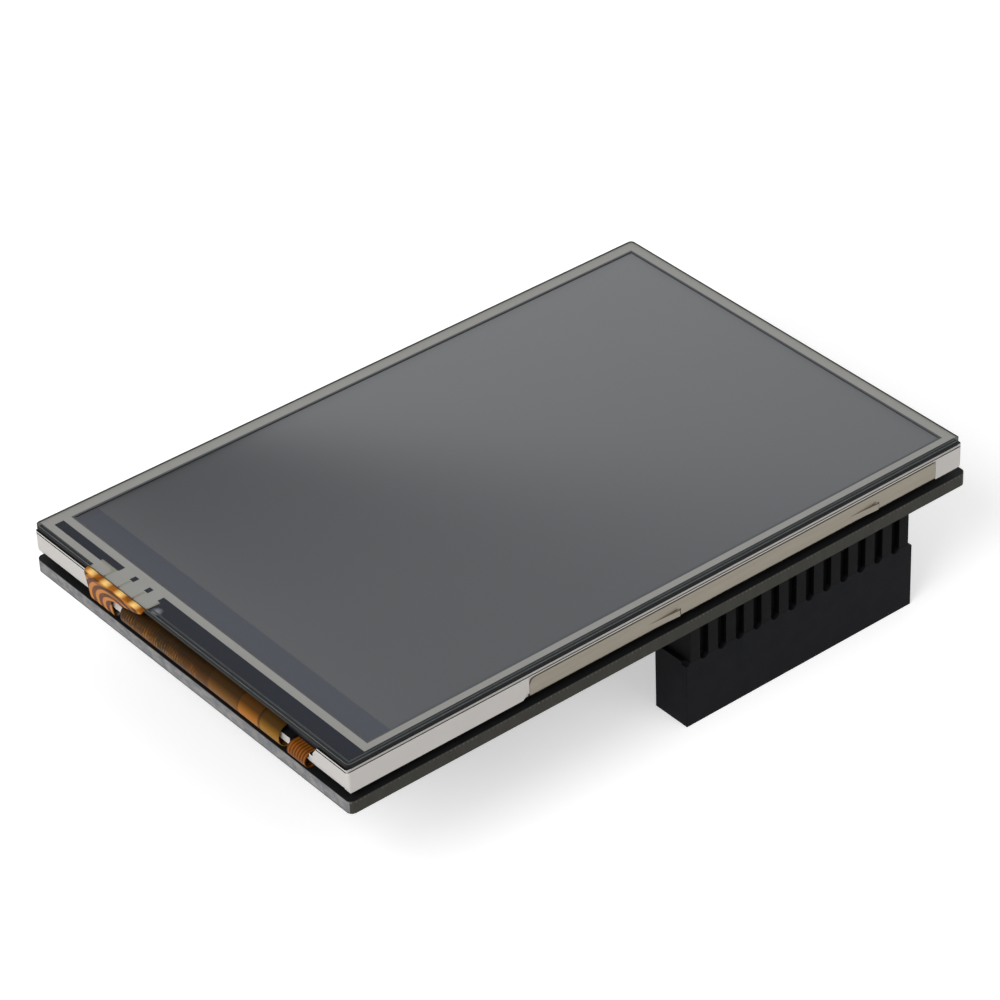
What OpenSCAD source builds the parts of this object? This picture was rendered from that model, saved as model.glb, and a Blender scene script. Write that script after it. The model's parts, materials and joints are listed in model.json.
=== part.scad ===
// Small touch-screen display module for plugging onto a single-board computer.
// A colour display with a resistive touch panel is taped on a bare circuit board,
// and a raised 2-row pin socket hangs under one long edge of the board.
//
// Frame: +Z is the way the screen faces, +X runs along the long edge of the board
// towards the socket's end, +Y runs from the socket's long edge to the other one.
// The origin is the centre of the socket's mating face.
// All sizes are in millimetres. The modules draw in board coordinates, whose
// origin is the board's lower corner nearest the screen's flex end.

/* [Circuit board] */
// Length of the board
board_l = 85.42; // [80:0.01:95]
// Width of the board
board_w = 55.6; // [54:0.1:65]
// Thickness of the board
board_t = 1.6; // [0.8:0.1:2.4]
// Radius of the board's corners
board_corner_r = 0.7; // [0.2:0.1:3]

/* [Pin socket] */
// Distance between neighbouring pins
pin_pitch = 2.54; // [2.2:0.01:2.8]
// Pins in each of the two rows
row_pins = 13; // [8:1:14]
// Height of the socket block that takes the pins
block_h = 8.5; // [6:0.1:12]
// Height of the comb that raises the block off the board
comb_h = 5; // [2:0.1:8]
// Gap from the board's long edge to the block
block_edge_gap = 0.96; // [0.5:0.01:3]
// Gap from the board's short edge to the block
block_end_gap = 7.1; // [2:0.1:12]
// Width of each square pin cavity
cavity_w = 0.9; // [0.7:0.05:1.1]
// Depth of each pin cavity
cavity_depth = 6.8; // [4:0.1:8]
// Width of the lead-in round each cavity's mouth
lead_in_w = 1.5; // [1.2:0.05:1.9]
// Width of each rib of the comb
rib_w = 1.4; // [1:0.05:1.8]
// How far the slots between the ribs are cut in
slot_depth = 0.8; // [0.4:0.05:1]
// How far each slot runs down into the block
slot_drop = 0.4; // [0.1:0.05:0.8]
// Width of a contact's leg along the row
leg_w = 0.5; // [0.3:0.05:0.6]
// Thickness of a contact's leg
leg_t = 0.3; // [0.2:0.05:0.4]
// Thickness of a contact's spring leaves
leaf_t = 0.15; // [0.1:0.01:0.2]
// Radius of the board's pin holes
pin_hole_r = 0.5; // [0.45:0.01:0.6]
// Height of the trimmed solder joints above the board
joint_h = 0.5; // [0.3:0.05:0.55]

/* [Display stack] */
// Gap from the board's flex end to the display's frame
flex_end_gap = 0.05; // [0:0.01:0.5]
// Gap from the board's far end to the display's frame
far_end_gap = 0.47; // [0:0.01:1]
// Gap from each long edge of the board to the display's frame
side_gap = 0.3; // [0.3:0.05:1]
// Thickness of the foam tape under the display
foam_t = 0.85; // [0.7:0.05:2]
// Width of each of the two foam tapes
foam_w = 8; // [5:0.5:12]
// Gap from the frame's socket side to the first tape
foam_side_gap = 8.1; // [3:0.1:12]
// Distance from one tape to the other
foam_apart = 27.5; // [15:0.5:32]
// Gap from the frame's flex end to the tapes
foam_flex_gap = 20; // [19:0.5:30]
// Gap from the frame's far end to the tapes
foam_far_gap = 6; // [2:0.5:15]
// Thickness of the steel sheet
shell_t = 0.2; // [0.1:0.01:0.25]
// Thickness of the reflector sheet
reflector_t = 0.1; // [0.05:0.01:0.2]
// Thickness of the light guide
guide_t = 0.6; // [0.5:0.05:1.5]
// Thickness of each optical film
film_t = 0.1; // [0.05:0.01:0.2]
// Thickness of the tape ring that holds the display cell
rim_tape_t = 0.05; // [0.03:0.01:0.1]
// Thickness of each polarizer
polarizer_t = 0.15; // [0.1:0.01:0.3]
// Thickness of each glass of the display cell
cell_glass_t = 0.5; // [0.3:0.05:0.7]
// Space between the front polarizer and the touch panel's tape
air_gap = 0.45; // [0.1:0.05:1]
// Width of the bare glass ledge that carries the driver chip
ledge_w = 3.4; // [3:0.1:6]
// Bare border of the front glass next to the ledge
pol_ledge_margin = 3.3; // [1:0.1:6]
// Bare border of the glass along the other three edges
pol_margin = 0.6; // [0.2:0.1:2]

/* [Backlight frame] */
// Thickness of the frame's walls
wall_t = 0.85; // [0.7:0.05:1.2]
// Width of the shelf that the display cell lies on
shelf_w = 1; // [0.6:0.1:1.6]
// Gap round the display cell inside the frame
cell_gap = 0.25; // [0.1:0.05:0.5]
// Radius of the frame's upright corners
frame_corner_r = 0.4; // [0.3:0.1:1.5]
// How far the frame's ends draw in towards their lower edges
end_draw = 0.3; // [0.2:0.05:0.6]
// Height over which the frame's ends draw in
end_draw_h = 1.1; // [0.6:0.1:1.5]
// How far the end walls stop above the corner feet
end_lift = 0.25; // [0.1:0.05:0.5]
// Width of the corner feet
foot_w = 0.9; // [0.5:0.1:2]
// Gap from the frame's socket side to the window that the flexes leave through
window_front = 5.7; // [5:0.1:6]
// Gap between that window's back end and the touch panel's tail
window_gap = 0.2; // [0.1:0.05:1]
// How far the low wall under the window is set back
low_wall_inset = 0.25; // [0.1:0.05:0.4]
// Depth of the step and groove under the frame's top edge
lip_step = 0.12; // [0.05:0.01:0.2]
// Height of the step under the frame's top edge
lip_h = 0.35; // [0.2:0.05:0.5]

/* [Steel shell] */
// Gap from the frame's flex end to the steel side flanges
flange_start = 23.5; // [15:0.5:40]
// Gap from the frame's far end to the steel side flanges
flange_end = 4; // [2:0.5:10]
// Height of the side flanges
flange_h = 2.3; // [1.5:0.1:2.4]
// Gap between the steel sheet and the plastic round it
shell_gap = 0.05; // [0.02:0.01:0.1]
// Radius of the flange's upper corner at the flex end
flange_corner_r = 0.9; // [0.4:0.1:1.2]
// Radius of the flange's upper corner at the far end
flange_far_r = 0.3; // [0.2:0.1:1.2]
// Outer radius of the bend between base and flange
bend_r = 0.35; // [0.3:0.05:0.5]
// Length of each pressed-out latch
latch_l = 4.2; // [3:0.1:6]
// How far a latch stands out of the flange
latch_out = 0.25; // [0.1:0.05:0.3]
// Distance from the flange's start to the first latch
latch_1_at = 16; // [8:0.5:20]
// Distance from the flange's start to the second latch
latch_2_at = 44.5; // [30:0.5:48]

/* [Touch panel] */
// How far the touch panel stops short of the frame's ends
touch_end_inset = 0.15; // [0:0.05:0.3]
// How far the touch panel stands over the frame's sides
touch_side_out = 0.05; // [0:0.01:0.1]
// Radius of the touch panel's corners
touch_corner_r = 0.5; // [0.2:0.1:0.6]
// Length of the cut across the touch panel's corner at the far end's socket side
touch_corner_cut = 0.5; // [0.4:0.1:0.7]
// Thickness of the tape ring under the touch panel
gasket_t = 0.05; // [0.03:0.01:0.2]
// Width of the tape ring
gasket_w = 1.8; // [1:0.1:1.9]
// Width of the tape over the glass ledge
gasket_ledge_w = 3.8; // [3.6:0.1:4.2]
// Thickness of the touch panel's glass
touch_glass_t = 0.5; // [0.4:0.05:1.1]
// Thickness of the dark adhesive ring between glass and film
spacer_t = 0.03; // [0.02:0.01:0.1]
// Thickness of the printed silver lines
ink_t = 0.02; // [0.02:0.01:0.05]
// Thickness of the touch panel's film
touch_film_t = 0.15; // [0.1:0.01:0.25]
// Gap from the socket-side edge to the silver line
front_line_inset = 0.8; // [0.5:0.05:1.5]
// Width of the silver line on the socket side
front_line_w = 0.85; // [0.5:0.05:1.5]
// Gap from the other three edges to their silver lines
edge_line_inset = 0.1; // [0.05:0.01:0.3]
// Width of the silver line along the back edge
back_line_w = 1.4; // [0.8:0.1:2]
// Width of the silver line along the far end
end_line_w = 1.25; // [0.8:0.05:2]
// Gap from the flex-end edge to the inner silver line
inner_line_inset = 2.7; // [2.4:0.05:3]
// Width of the inner silver line
inner_line_w = 1; // [0.6:0.05:1.2]
// Gap from the flex-end edge to the outer silver line
outer_line_inset = 0.6; // [0.4:0.05:0.8]
// Width of the outer silver line
outer_line_w = 0.9; // [0.5:0.05:1]
// Width of the dark adhesive that shows inside the silver lines
seal_margin = 0.25; // [0.1:0.05:0.5]

/* [Flex circuits] */
// Thickness of each flex circuit
flex_t = 0.1; // [0.06:0.01:0.15]
// Overlap of the display flex on the glass ledge
glass_bond = 1.3; // [0.8:0.1:1.6]
// Reach of the display flex along the board
display_flex_run = 14; // [8:0.5:18]
// Reach of the backlight flex tail along the board
backlight_tail_run = 6; // [4:0.5:10]
// Reach of the touch panel's tail along the board
touch_tail_run = 7; // [4:0.5:12]
// Gap from the frame's socket side to the display flex
display_flex_at = 11.1; // [10.5:0.1:14]
// Width of the display flex
display_flex_w = 27.8; // [20:0.1:29]
// How far the display flex bulges out of the frame's end
display_bulge = 0.35; // [0.35:0.05:0.8]
// Gap from the frame's socket side to the backlight flex tail
backlight_tail_at = 6.8; // [6.4:0.1:7.2]
// Width of the backlight flex tail
backlight_tail_w = 3; // [2:0.1:3.4]
// How far the backlight tail bulges out of the frame's end
backlight_bulge = 0.3; // [0.3:0.05:0.7]
// Gap from the display flex to the neck of the touch panel's tail
flex_neck_gap = 1.8; // [1:0.1:3]
// Width of the touch panel's tail where it leaves the panel
touch_tail_w = 10.4; // [9:0.1:12]
// Width of the touch panel's tail under the display
touch_neck_w = 4.2; // [3:0.1:6]
// How far the touch panel's tail bulges out of the frame's end
touch_bulge = 0.5; // [0.5:0.05:1]
// Angle at which the touch panel's tail leans in under the display
touch_lean = 8; // [0:1:10]
// Length of the tail's joint between the touch panel's layers
touch_bond = 1.8; // [1.4:0.1:2]

/* [Small parts of the display] */
// Length of the driver chip on the glass ledge
driver_l = 20; // [14:0.5:24]
// Width of the driver chip
driver_w = 1.1; // [0.8:0.1:1.2]
// Thickness of the driver chip
driver_t = 0.4; // [0.2:0.05:0.4]
// Number of light-emitting diodes along the light guide
led_count = 6; // [4:1:8]
// Length of each diode along the light guide
led_l = 3.2; // [2:0.1:3.8]
// Depth of each diode
led_w = 1; // [0.6:0.1:1.2]
// Room for the diodes between frame and light guide
led_zone = 2.7; // [2.4:0.1:3]
// Gap round the light guide and the optical films
guide_gap = 0.15; // [0.1:0.05:0.3]
// Gap from each side of the light guide's well to the first diode
led_margin = 3; // [1:0.5:6]

/* [Parts under the board] */
// Gap from the board's flex end to the middle of the first logic chips
chips_from_end = 30; // [28:0.5:34]
// Gap from the board's socket edge to the middle of the first logic chips
chips_from_edge = 20; // [16:0.5:24]
// Distance between the logic chips along the board
chips_apart_x = 14; // [12:0.5:18]
// Distance between the logic chips across the board
chips_apart_y = 11; // [10:0.5:14]
// Distance between a logic chip's leads
lead_pitch = 1.27; // [1.2:0.01:1.3]
// Width of a logic chip's body
chip_w = 3.9; // [3.4:0.1:4.2]
// Height of a logic chip's body
chip_h = 1.5; // [1:0.1:1.8]
// Width of a logic chip over its leads
chip_span = 6; // [5.6:0.1:6.6]
// Thickness of a logic chip's leads
lead_t = 0.2; // [0.12:0.01:0.25]
// Space between every chip's body and the board
chip_standoff = 0.1; // [0.05:0.01:0.2]
// Height of the resistors
resistor_h = 0.45; // [0.3:0.05:0.6]
// Height of the capacitors
capacitor_h = 0.8; // [0.5:0.05:1]

/* [Hidden] */
EPS = 0.01;          // overshoot of a cutting tool past the face it cuts

// Socket block, in board coordinates
block_l = row_pins * pin_pitch;
block_w = 2 * pin_pitch;
block_x = board_l - block_end_gap - block_l;
block_y = block_edge_gap;
block_mid = [block_x + block_l / 2, block_y + block_w / 2];
socket_h = block_h + comb_h;

// Heights of the display stack above the board's lower face
shell_z = board_t + foam_t;
reflector_z = shell_z + shell_t;
guide_z = reflector_z + reflector_t;
diffuser_z = guide_z + guide_t;
prism_lower_z = diffuser_z + film_t;
prism_upper_z = prism_lower_z + film_t;
rim_tape_z = prism_upper_z + film_t;
rear_pol_z = rim_tape_z + rim_tape_t;
tft_z = rear_pol_z + polarizer_t;
cf_z = tft_z + cell_glass_t;
front_pol_z = cf_z + cell_glass_t;
gasket_z = front_pol_z + polarizer_t + air_gap;
touch_glass_z = gasket_z + gasket_t;
spacer_z = touch_glass_z + touch_glass_t;
ink_z = spacer_z + spacer_t;
touch_film_z = ink_z + ink_t;

// Plan outlines: [x, y] of the lower corner, then [length, width]
frame_l = board_l - flex_end_gap - far_end_gap;
frame_w = board_w - 2 * side_gap;
frame_at = [flex_end_gap, side_gap];
frame_size = [frame_l, frame_w];
frame_x1 = frame_at[0] + frame_l;
frame_y1 = frame_at[1] + frame_w;
touch_at = [frame_at[0] + touch_end_inset, frame_at[1] - touch_side_out];
touch_size = [frame_l - 2 * touch_end_inset, frame_w + 2 * touch_side_out];
cell_inset = wall_t + cell_gap;
cell_at = frame_at + [cell_inset, cell_inset];
cell_size = frame_size - 2 * [cell_inset, cell_inset];
guide_inset = wall_t + shelf_w;
well_at = frame_at + [guide_inset, guide_inset];
well_size = frame_size - 2 * [guide_inset, guide_inset];
guide_at = well_at + [led_zone, guide_gap];
guide_size = well_size - [led_zone + guide_gap, 2 * guide_gap];

// Flexes side by side at the frame's end, counted from the socket side
display_flex_y = frame_at[1] + display_flex_at;
touch_neck_y = display_flex_y + display_flex_w + flex_neck_gap;
touch_tail_y1 = touch_neck_y + touch_neck_w;

// Backlight frame
frame_z = shell_z + 0.05;
flange_x0 = frame_at[0] + flange_start;
flange_x1 = frame_x1 - flange_end;
flex_wall_x = frame_at[0] + low_wall_inset;     // low wall that the flexes bend round
window_y0 = frame_at[1] + window_front;
window_y1 = touch_tail_y1 + window_gap;
window_slope = 0.8;
rib_notch_z = diffuser_z - 0.25;

// ---------------------------------------------------------------- helpers

function arc(c, r, a0, a1, n = 8) =
    [for (i = [0:n]) let (a = a0 + (a1 - a0) * i / n) c + r * [cos(a), sin(a)]];

function round_rect_points(size, r) =
    concat(arc([size[0] - r, r], r, -90, 0), arc([size[0] - r, size[1] - r], r, 0, 90),
        arc([r, size[1] - r], r, 90, 180), arc([r, r], r, 180, 270));

function unit(v) = v / norm(v);
function left_of(v) = [-v[1], v[0]];
function normal_at(path, i) =
    left_of(unit(path[min(i + 1, len(path) - 1)] - path[max(i - 1, 0)]));
function ribbon_side(path, d) =
    [for (i = [0:len(path) - 1]) path[i] + d * normal_at(path, i)];
function reversed(list) = [for (i = [len(list) - 1:-1:0]) list[i]];

// Closed outline of a bent strip of even thickness t that follows a path
function ribbon(path, t) =
    concat(ribbon_side(path, t / 2), reversed(ribbon_side(path, -t / 2)));

// Cutter for the corner that is cut off the touch panel's layers
module touch_corner(z, t) {
    x = touch_at[0] + touch_size[0];
    y = touch_at[1];
    translate([0, 0, z - EPS]) linear_extrude(t + 2 * EPS) polygon([
        [x - touch_corner_cut, y - 1], [x - touch_corner_cut, y], [x, y + touch_corner_cut],
        [x + 1, y + touch_corner_cut], [x + 1, y - 1]]);
}

// Plan of the touch panel's layers
module touch_layer(z, t) {
    difference() {
        round_slab(touch_at, touch_size, z, t, touch_corner_r);
        touch_corner(z, t);
    }
}

// Moves a module's board coordinates to the origin at the socket's mating face
module on_board() {
    translate([-block_mid[0], -block_mid[1], socket_h]) children();
}

module slab(at, size, z, t) {
    translate([at[0], at[1], z]) cube([size[0], size[1], t]);
}

module round_slab(at, size, z, t, r) {
    translate([at[0], at[1], z]) linear_extrude(t) polygon(round_rect_points(size, r));
}

// Flat ring: the slab at/size less a window that stays in by the four borders
// [flex end, socket side, far end, back side]
module ring(at, size, z, t, borders) {
    difference() {
        slab(at, size, z, t);
        slab(at + [borders[0], borders[1]],
            size - [borders[0] + borders[2], borders[1] + borders[3]], z - EPS, t + 2 * EPS);
    }
}

// Sweeps an X-Z outline along Y from y0 over the width w
module along_y(y0, w) {
    translate([0, y0 + w, 0]) rotate([90, 0, 0]) linear_extrude(w) children();
}

// Sweeps a Y-Z outline along X from x0 over the length l
module along_x(x0, l) {
    translate([x0, 0, 0]) rotate([90, 0, 90]) linear_extrude(l) children();
}

// Path of a flex that leaves at (x_in, z_top), bends down round the frame's end
// and runs back on the board to x_out
function folded_flex(x_in, z_top, x_out, bulge) =
    let (z_low = board_t + flex_t / 2, r = (z_top - z_low) / 2,
        cx = frame_at[0] - bulge + r + flex_t / 2)
    concat([[x_in, z_top]], arc([cx, z_low + r], r, 90, 270, 16), [[x_out, z_low]]);

// ---------------------------------------------------------------- touch panel

module touch_film() {
    color([0.45, 0.46, 0.48, 0.35]) on_board()
        touch_layer(touch_film_z, touch_film_t);
}

line_borders = [inner_line_inset, front_line_inset, edge_line_inset, edge_line_inset];
line_widths = [inner_line_w, front_line_w, end_line_w, back_line_w];
finger_pitch = touch_tail_w / 4;
finger_y0 = touch_tail_y1 - touch_tail_w;

// Silver lines printed along the four edges, with the fingers of the flex joint
module touch_electrodes() {
    dark = [inner_line_inset - outer_line_inset - outer_line_w, 1.2];
    color([0.62, 0.63, 0.58]) on_board() {
        ring(touch_at + [line_borders[0], line_borders[1]],
            touch_size - [line_borders[0] + line_borders[2], line_borders[1] + line_borders[3]],
            ink_z, ink_t, line_widths);
        // back line carried on to the outer line, which runs down to the first finger
        outer_x = touch_at[0] + outer_line_inset;
        back_y = touch_at[1] + touch_size[1] - edge_line_inset;
        slab([outer_x, back_y - back_line_w],
            [inner_line_inset - outer_line_inset + EPS, back_line_w], ink_z, ink_t);
        slab([outer_x, finger_y0 + 3 * finger_pitch + 0.6],
            [outer_line_w, back_y - finger_y0 - 3 * finger_pitch - 0.6], ink_z, ink_t);
        for (i = [0:3]) {
            slab([touch_at[0] + edge_line_inset, finger_y0 + i * finger_pitch + 0.15],
                [inner_line_inset - (i == 3 ? dark[0] + 0.3 : 0.95), finger_pitch - 0.3],
                ink_z, ink_t);
        }
        // bridge from three fingers to the inner line, with two bare windows
        difference() {
            slab([touch_at[0] + inner_line_inset - 1, finger_y0 + 0.5],
                [1 + EPS, 2.7 * finger_pitch], ink_z, ink_t);
            for (i = [1, 2]) slab([touch_at[0] + inner_line_inset - 0.85,
                finger_y0 + i * finger_pitch - 0.35], [0.8, 0.7], ink_z - EPS, ink_t + 2 * EPS);
        }
    }
}

module touch_spacer() {
    borders = line_borders + line_widths + [seal_margin, seal_margin, seal_margin, seal_margin];
    opening = touch_at + [borders[0], borders[1]];
    opening_size = touch_size - [borders[0] + borders[2], borders[1] + borders[3]];
    color([0.12, 0.12, 0.13]) on_board() difference() {
        touch_layer(spacer_z, spacer_t);
        slab(opening, opening_size, spacer_z - EPS, spacer_t + 2 * EPS);
        slab([touch_at[0] - EPS, finger_y0 - tab_gap],
            [touch_bond + tab_gap + EPS, touch_tail_w + 2 * tab_gap],
            spacer_z - EPS, spacer_t + 2 * EPS);
    }
}

module touch_glass() {
    color([0.2, 0.22, 0.22, 0.6]) on_board()
        touch_layer(touch_glass_z, touch_glass_t);
}

module touch_gasket() {
    color([0.06, 0.06, 0.07]) on_board() difference() {
        ring(touch_at + [0.2, 0.2], touch_size - [0.4, 0.4], gasket_z, gasket_t,
            [gasket_ledge_w, gasket_w, gasket_w, gasket_w]);
        touch_corner(gasket_z, gasket_t);
    }
}

tab_gap = 0.1;       // gap round the tail's end between the touch panel's layers

// Side outline of the touch panel's tail: wide at the panel, narrow below
function tail_outline() =
    let (y0 = finger_y0, y1 = touch_tail_y1, neck = touch_neck_y,
        top = touch_film_z + 1, knee = touch_glass_z - 0.2, low = shell_z + 0.9)
    concat([[y1, top], [y1, 0], [neck, 0], [neck, low]],
        arc([neck - 1, low], 1, 0, 60, 5),
        [[y0 + 0.8, knee + 0.1], [y0, knee + 0.5], [y0, top]]);

module touch_tail() {
    z_top = spacer_z + spacer_t / 2;
    z_low = board_t + flex_t / 2;
    x_out = frame_at[0] - touch_bulge + flex_t / 2;
    r_top = 0.45;
    r_low = 0.6;
    inward = [cos(touch_lean), sin(touch_lean)];
    bend = [x_out + r_top, z_top - r_top];
    drop = bend[1] - r_top * inward[1] - z_low - r_low * (1 - inward[1]);
    foot = bend - r_top * inward + drop * [tan(touch_lean), -1];
    path = concat([[touch_at[0] - 0.05, z_top]],
        arc(bend, r_top, 90, 180 + touch_lean, 8),
        arc(foot + r_low * inward, r_low, 180 + touch_lean, 270, 8),
        [[frame_at[0] + touch_tail_run, z_low]]);
    color([0.72, 0.42, 0.1]) on_board() intersection() {
        union() {
            along_y(finger_y0 - 1, touch_tail_w + 2) polygon(ribbon(path, flex_t));
            slab([touch_at[0] - 0.15, finger_y0 - 1], [touch_bond + 0.15, touch_tail_w + 2],
                spacer_z, spacer_t);
        }
        along_x(frame_at[0] - 2, touch_tail_run + 3) polygon(tail_outline());
    }
}

// ---------------------------------------------------------------- display cell

cf_at = cell_at + [ledge_w, 0];
cf_size = cell_size - [ledge_w, 0];

module front_polarizer() {
    at = cf_at + [pol_ledge_margin, pol_margin];
    size = cf_size - [pol_ledge_margin + pol_margin, 2 * pol_margin];
    color([0.28, 0.29, 0.31]) on_board() slab(at, size, front_pol_z, polarizer_t);
}

module color_filter_glass() {
    color([0.1, 0.11, 0.13]) on_board() slab(cf_at, cf_size, cf_z, cell_glass_t);
}

module tft_glass() {
    color([0.13, 0.15, 0.18]) on_board() slab(cell_at, cell_size, tft_z, cell_glass_t);
}

module rear_polarizer() {
    at = cell_at + [ledge_w, pol_margin];
    size = cell_size - [ledge_w + pol_margin, 2 * pol_margin];
    color([0.2, 0.2, 0.22]) on_board() slab(at, size, rear_pol_z, polarizer_t);
}

module driver_chip() {
    edge_gap = 0.4;  // gap to the front glass
    color([0.35, 0.36, 0.38]) on_board()
        slab([cell_at[0] + ledge_w - driver_w - edge_gap,
                cell_at[1] + (cell_size[1] - driver_l) / 2],
            [driver_w, driver_l], cf_z, driver_t);
}

module display_flex() {
    path = folded_flex(cell_at[0] + glass_bond, cf_z + flex_t / 2,
        frame_at[0] + display_flex_run, display_bulge);
    color([0.42, 0.24, 0.1]) on_board()
        along_y(display_flex_y, display_flex_w) polygon(ribbon(path, flex_t));
}

// ---------------------------------------------------------------- backlight

module rim_tape() {
    cover = cell_gap + pol_margin + 0.2;
    color([0.05, 0.05, 0.05]) on_board()
        ring(cell_at, cell_size, rim_tape_z, rim_tape_t,
            [shelf_w - cell_gap + led_zone, cover, cover, cover]);
}

module optical_film(z) {
    on_board() slab(guide_at, guide_size, z, film_t);
}

module prism_film_upper() { color([0.85, 0.87, 0.88]) optical_film(prism_upper_z); }
module prism_film_lower() { color([0.82, 0.84, 0.86]) optical_film(prism_lower_z); }
module diffuser_film() { color([0.93, 0.93, 0.92]) optical_film(diffuser_z); }

module light_guide() {
    color([0.8, 0.88, 0.88]) on_board() slab(guide_at, guide_size, guide_z, guide_t);
}

module reflector_sheet() {
    color([0.97, 0.97, 0.96]) on_board() slab(guide_at, guide_size, reflector_z, reflector_t);
}

module backlight_flex() {
    end_gap = 1;     // gap from the strip's ends to the well's sides
    strip_at = [well_at[0] + guide_gap, well_at[1] + end_gap];
    tail_y = frame_at[1] + backlight_tail_at;
    path = folded_flex(strip_at[0] + 1, diffuser_z + flex_t / 2,
        frame_at[0] + backlight_tail_run, backlight_bulge);
    color([0.6, 0.3, 0.08]) on_board() {
        slab(strip_at, [led_zone - 2 * guide_gap, well_size[1] - 2 * end_gap],
            diffuser_z, flex_t);
        along_y(tail_y, backlight_tail_w) polygon(ribbon(path, flex_t));
    }
}

module backlight_leds() {
    pitch = (well_size[1] - 2 * led_margin) / led_count;
    face_gap = 0.05; // gap between a diode's window and the light guide
    color([0.95, 0.93, 0.75]) on_board()
        for (i = [0:led_count - 1])
            slab([guide_at[0] - face_gap - led_w,
                    well_at[1] + led_margin + pitch * (i + 0.5) - led_l / 2],
                [led_w, led_l], guide_z, guide_t);
}

// Cutter that leaves the end walls short of the feet
module end_wall_lift() {
    for (x = [frame_at[0] - 1, frame_x1 - wall_t])
        slab([x, frame_at[1] + foot_w], [wall_t + 1, frame_w - 2 * foot_w],
            frame_z - EPS, end_lift + EPS);
}

// Cutter for the window that the flexes leave through, above the low wall
module flex_window() {
    z0 = rim_tape_z - EPS;
    top = gasket_z + 1;
    along_x(frame_at[0] - 1, 1 + wall_t + EPS) polygon([
        [window_y0, z0], [window_y0, cf_z], [window_y0 - window_slope, gasket_z],
        [window_y0 - window_slope, top], [window_y1, top], [window_y1, z0]]);
    slab([frame_at[0] - 1, window_y0], [flex_wall_x - frame_at[0] + 1, window_y1 - window_y0],
        frame_z - 1, gasket_z);
    slab([frame_at[0] - 1, frame_at[1] + backlight_tail_at - 0.1],
        [guide_inset + 1 + EPS, backlight_tail_w + 0.2], rib_notch_z, gasket_z);
}

// Cutters for the recess that takes a steel flange, with room for its bend and a
// clearance notch at the flange's start
module flange_recess() {
    depth = shell_t + shell_gap;
    y = frame_at[1];
    z1 = shell_z + flange_h + 0.2;
    along_x(flange_x0 - shell_gap, flange_x1 - flange_x0 + 2 * shell_gap) polygon([
        [y - 1, frame_z - 1], [y + bend_r + shell_gap, frame_z - 1],
        [y + bend_r + shell_gap, reflector_z], [y + depth, shell_z + bend_r + shell_gap],
        [y + depth, z1], [y - 1, z1]]);
    along_y(frame_at[1] - 1, 1 + depth) polygon([
        [flange_x0, frame_z - 1], [flange_x0 - 1.1, frame_z - 1], [flange_x0 - 0.9, frame_z],
        [flange_x0 - 0.35, frame_z + 0.5], [flange_x0, frame_z + 0.5]]);
}

// Outer form of the frame, with ends that draw in towards their lower edges
module frame_block(z, h) {
    difference() {
        round_slab(frame_at, frame_size, z, h, frame_corner_r);
        for (end = [0, 1])
            translate([frame_at[0] + end * frame_l, 0, z]) mirror([end, 0, 0])
                along_y(frame_at[1] - 1, frame_w + 2) polygon([
                    [-1, -1], [-1, end_draw_h + 1], [0, end_draw_h],
                    [end_draw / 3, end_draw_h / 2], [end_draw, 0], [end_draw, -1]]);
    }
}

module mirror_across_width() {
    children();
    translate([0, 2 * frame_at[1] + frame_w, 0]) mirror([0, 1, 0]) children();
}

module backlight_frame() {
    color([0.86, 0.85, 0.81]) on_board() difference() {
        frame_block(frame_z, gasket_z - frame_z);
        // seat of the display cell, well of the light guide, recess of the steel base
        slab(frame_at + [wall_t, wall_t], frame_size - 2 * [wall_t, wall_t], rim_tape_z, 5);
        slab(well_at, well_size, frame_z - 1, 5);
        slab(frame_at + [wall_t, wall_t], frame_size - 2 * [wall_t, wall_t],
            frame_z - 1, reflector_z - frame_z + 1);
        slab([flange_x0 - shell_gap, frame_at[1] - 1],
            [flange_x1 - flange_x0 + 2 * shell_gap, frame_w + 2], frame_z - 1,
            reflector_z - frame_z + 1);
        mirror_across_width() flange_recess();
        end_wall_lift();
        flex_window();
        // step under the top edge along the sides, groove round the ends
        mirror_across_width()
            slab([frame_at[0] - 1, frame_at[1] - 1], [frame_l + 2, 1 + lip_step],
                gasket_z - lip_h, lip_h + 1);
        for (x = [frame_at[0] - 1, frame_x1 - lip_step])
            slab([x, frame_at[1] - 1], [1 + lip_step, frame_w + 2], gasket_z - lip_h, 0.15);
    }
}

// ---------------------------------------------------------------- steel shell

// L-shaped section of base edge and side flange, with a rolled outer corner
function flange_section() =
    let (y = frame_at[1], r = bend_r, z1 = shell_z + flange_h)
    concat([[y + 2, shell_z]], reversed(arc([y + r, shell_z + r], r, 180, 270, 6)),
        [[y, z1], [y + shell_t, z1]],
        arc([y + r, shell_z + r], r - shell_t, 180, 270, 6),
        [[y + 2, shell_z + shell_t]]);

latch_z = shell_z + 0.35;
latch_h = 0.75;

// Tongue pressed out of the flange, open at its far end, over a cut window
module latch(x) {
    y = frame_at[1];
    translate([x, 0, latch_z]) linear_extrude(latch_h) polygon([
        [0, y], [latch_l, y - latch_out], [latch_l, y - latch_out + shell_t * 0.8],
        [latch_l * 0.35, y + shell_t], [0, y + shell_t]]);
}

module latch_window(x) {
    y = frame_at[1];
    translate([x, 0, latch_z - 0.05]) linear_extrude(latch_h + 0.05) polygon([
        [latch_l * 0.35, y + shell_t + 0.1], [latch_l * 0.35, y + shell_t * 0.6],
        [latch_l + 0.3, y - 1], [latch_l + 0.3, y + shell_t + 0.1]]);
}

module side_flange() {
    difference() {
        along_x(flange_x0, flange_x1 - flange_x0) polygon(flange_section());
        for (at = [latch_1_at, latch_2_at]) latch_window(flange_x0 + at);
        flange_corner(flange_x0, 1, flange_corner_r);
        flange_corner(flange_x1, -1, flange_far_r);
    }
    for (at = [latch_1_at, latch_2_at]) latch(flange_x0 + at);
}

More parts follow.
